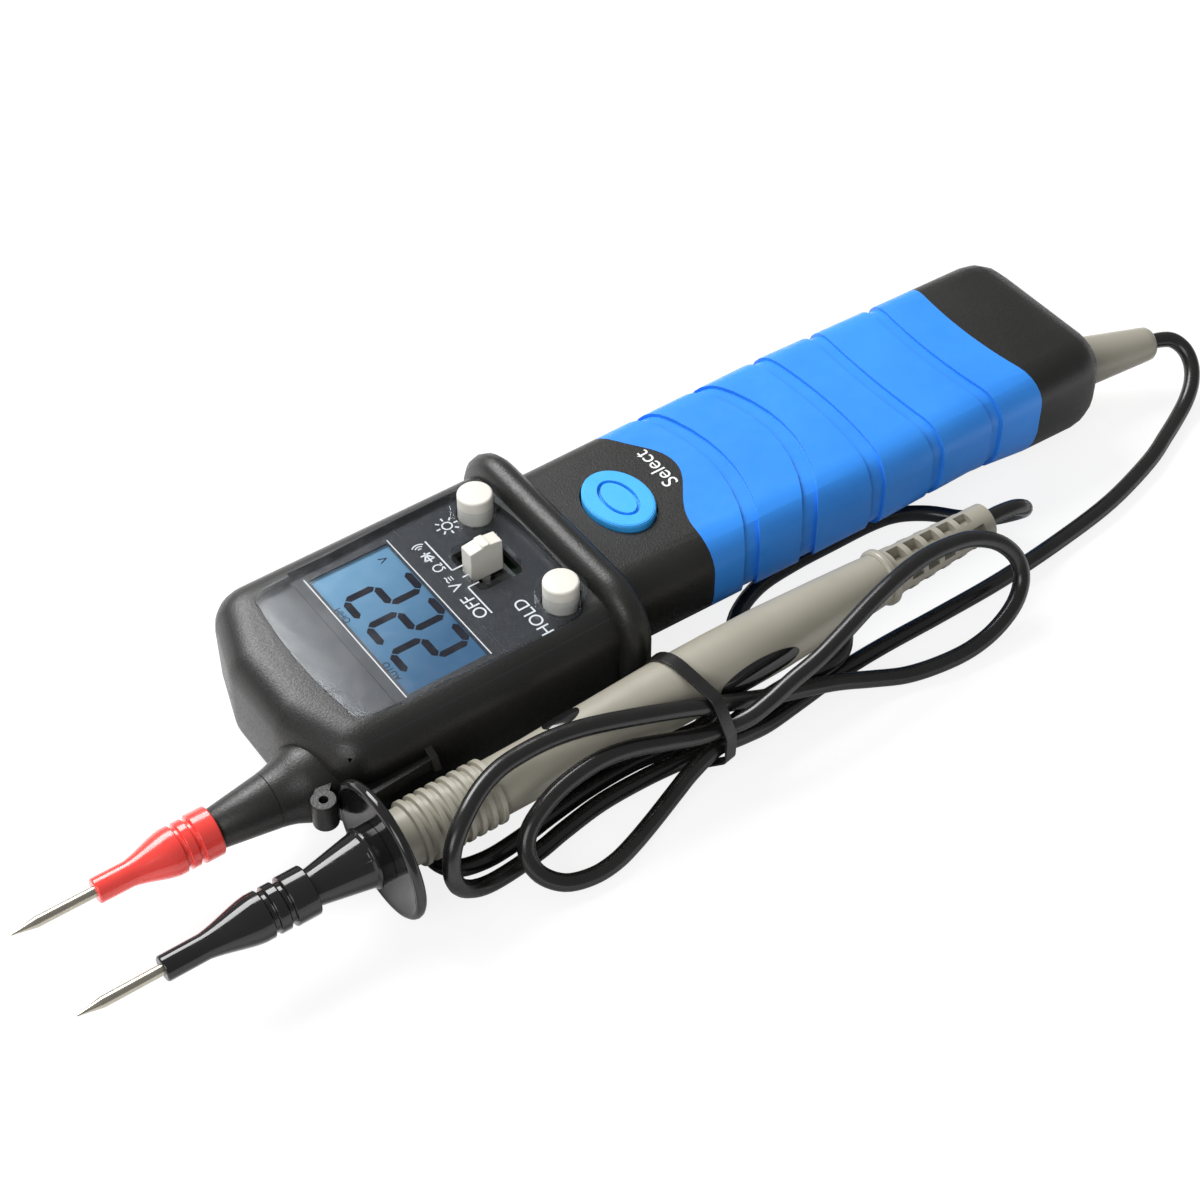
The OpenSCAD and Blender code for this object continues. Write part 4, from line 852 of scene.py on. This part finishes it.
# %% [markdown]
# Lines lead from each legend to its place on the switch, and small signs stand for the lamp, the
# diode and the sounder. They are bars too: rays round the lamp by turning one direction in steps of
# 45 degrees, and the sound as short chords of three arcs.

# %% Lines and signs of the print
lines = bmesh.new()
for start, end in (((-20, -9.2), (-20, -1.3)), ((-20, -1.3), (-17.6, -1.3)),
        ((-19.4, 1.4), (-17.6, 1.4)), ((-20, 13.2), (-20, 4)), ((-20, 4), (-17.6, 4)),
        ((-21.8, 8), (-21.8, 10.8))):
    bar(lines, start, end, 0.3, face_z)


def ray(degrees):
    return Vector((math.cos(math.radians(degrees)), math.sin(math.radians(degrees))))


lamp = Vector((-14.4, 14.3))
for angle in range(0, 360, 45):
    bar(lines, lamp + ray(angle) * 1.5, lamp + ray(angle) * 2.3, 0.32, face_z)
    bar(lines, lamp + ray(angle), lamp + ray(angle + 45), 0.3, face_z)
for start, end in (((-22.8, 8.7), (-20.8, 8.7)), ((-22.8, 8.7), (-21.8, 10.2)),
        ((-20.8, 8.7), (-21.8, 10.2)), ((-22.8, 10.2), (-20.8, 10.2))):
    bar(lines, start, end, 0.34, face_z + 0.001)
sounder = Vector((-21.9, 11.6))
for radius in (0.5, 1.1, 1.7):
    spots = [sounder + ray(90 - a) * radius for a in range(-45, 46, 15)]
    for first, second in zip(spots, spots[1:]):
        bar(lines, first, second, 0.26, face_z)
for line_x in (-43.4, -25.6):
    bar(lines, (line_x, -17.4), (line_x, 17.6), 0.22, face_z)
finish_piece("face_lines", outwards(lines, "face_lines"), print_ink, BODIES["lens"])

# %% [markdown]
# The meter lies on a white sweep. Lit white paper comes out grey in a picture, and more light on
# it would bleach the meter too. So the camera sees the paper mixed with a plain white glow, while
# all other light meets paper, and a soft share of the shadow stays.

# %% Floor
floor_shape = bmesh.new()
bmesh.ops.create_grid(floor_shape, x_segments=1, y_segments=1, size=3)
floor_mesh = to_mesh(floor_shape, "floor")
floor = bpy.data.objects.new("floor", floor_mesh)
bpy.context.scene.collection.objects.link(floor)
paper = Finish("paper")
paper.shine(Base_Color=(0.93, 0.93, 0.93, 1), Roughness=0.8)
seen = paper.node("ShaderNodeLightPath", {}, {}, "Is Camera Ray")
glow_white = paper.node("ShaderNodeEmission", {}, {"Color": (1, 1, 1, 1), "Strength": 1.08})
paper.put(paper.output.inputs["Surface"], paper.node("ShaderNodeMixShader", {},
    {0: seen * 0.78, 1: Term(paper, paper.surface.outputs[0]), 2: glow_white}))
floor_mesh.materials.append(paper.material)

# %% [markdown]
# The surround of a studio is bright and even. As the backdrop it has to be white, at a strength of
# 1, but as a light that would be too much. The path that a ray came by decides: camera rays and
# rays through clear pieces see the white, and all others get a third of it.

# %% World
world_light, world_white = 0.32, 1.0
world = bpy.data.worlds.new("studio")
bpy.context.scene.world = world
world.use_nodes = True
sky = world.node_tree
path = sky.nodes.new("ShaderNodeLightPath")
brightest = sky.nodes.new("ShaderNodeMath")
brightest.operation = "MAXIMUM"
sky.links.new(path.outputs["Is Camera Ray"], brightest.inputs[0])
sky.links.new(path.outputs["Is Transmission Ray"], brightest.inputs[1])
level = sky.nodes.new("ShaderNodeMapRange")
level.inputs["To Min"].default_value = world_light
level.inputs["To Max"].default_value = world_white
sky.links.new(brightest.outputs[0], level.inputs["Value"])
sky.nodes["Background"].inputs["Color"].default_value = (1, 1, 1, 1)
sky.links.new(level.outputs["Result"], sky.nodes["Background"].inputs["Strength"])

# %% [markdown]
# Two soft boxes shape the object. The large one stands behind and above, and its edge shows in the
# glossy parts. The small one is low on the camera's left and lifts the sides that face it. A sun
# would draw hard shadows, and a real soft box doesn't.

# %% Lights
def softbox(name, place, size, power):
    data = bpy.data.lights.new(name, "AREA")
    data.shape = "RECTANGLE"
    data.size, data.size_y = size
    data.energy = power
    box = bpy.data.objects.new(name, data)
    box.location = place
    box.rotation_euler = (-Vector(place)).to_track_quat("-Z", "Y").to_euler()
    bpy.context.scene.collection.objects.link(box)
    print(name, "gives", power, "W")


softbox("back_box", (-0.11, 0.66, 0.75), (0.7, 0.5), 14)
softbox("front_box", (-0.75, -0.35, 0.55), (0.5, 0.5), 3.5)
bpy.context.scene.view_settings.view_transform = "Standard"
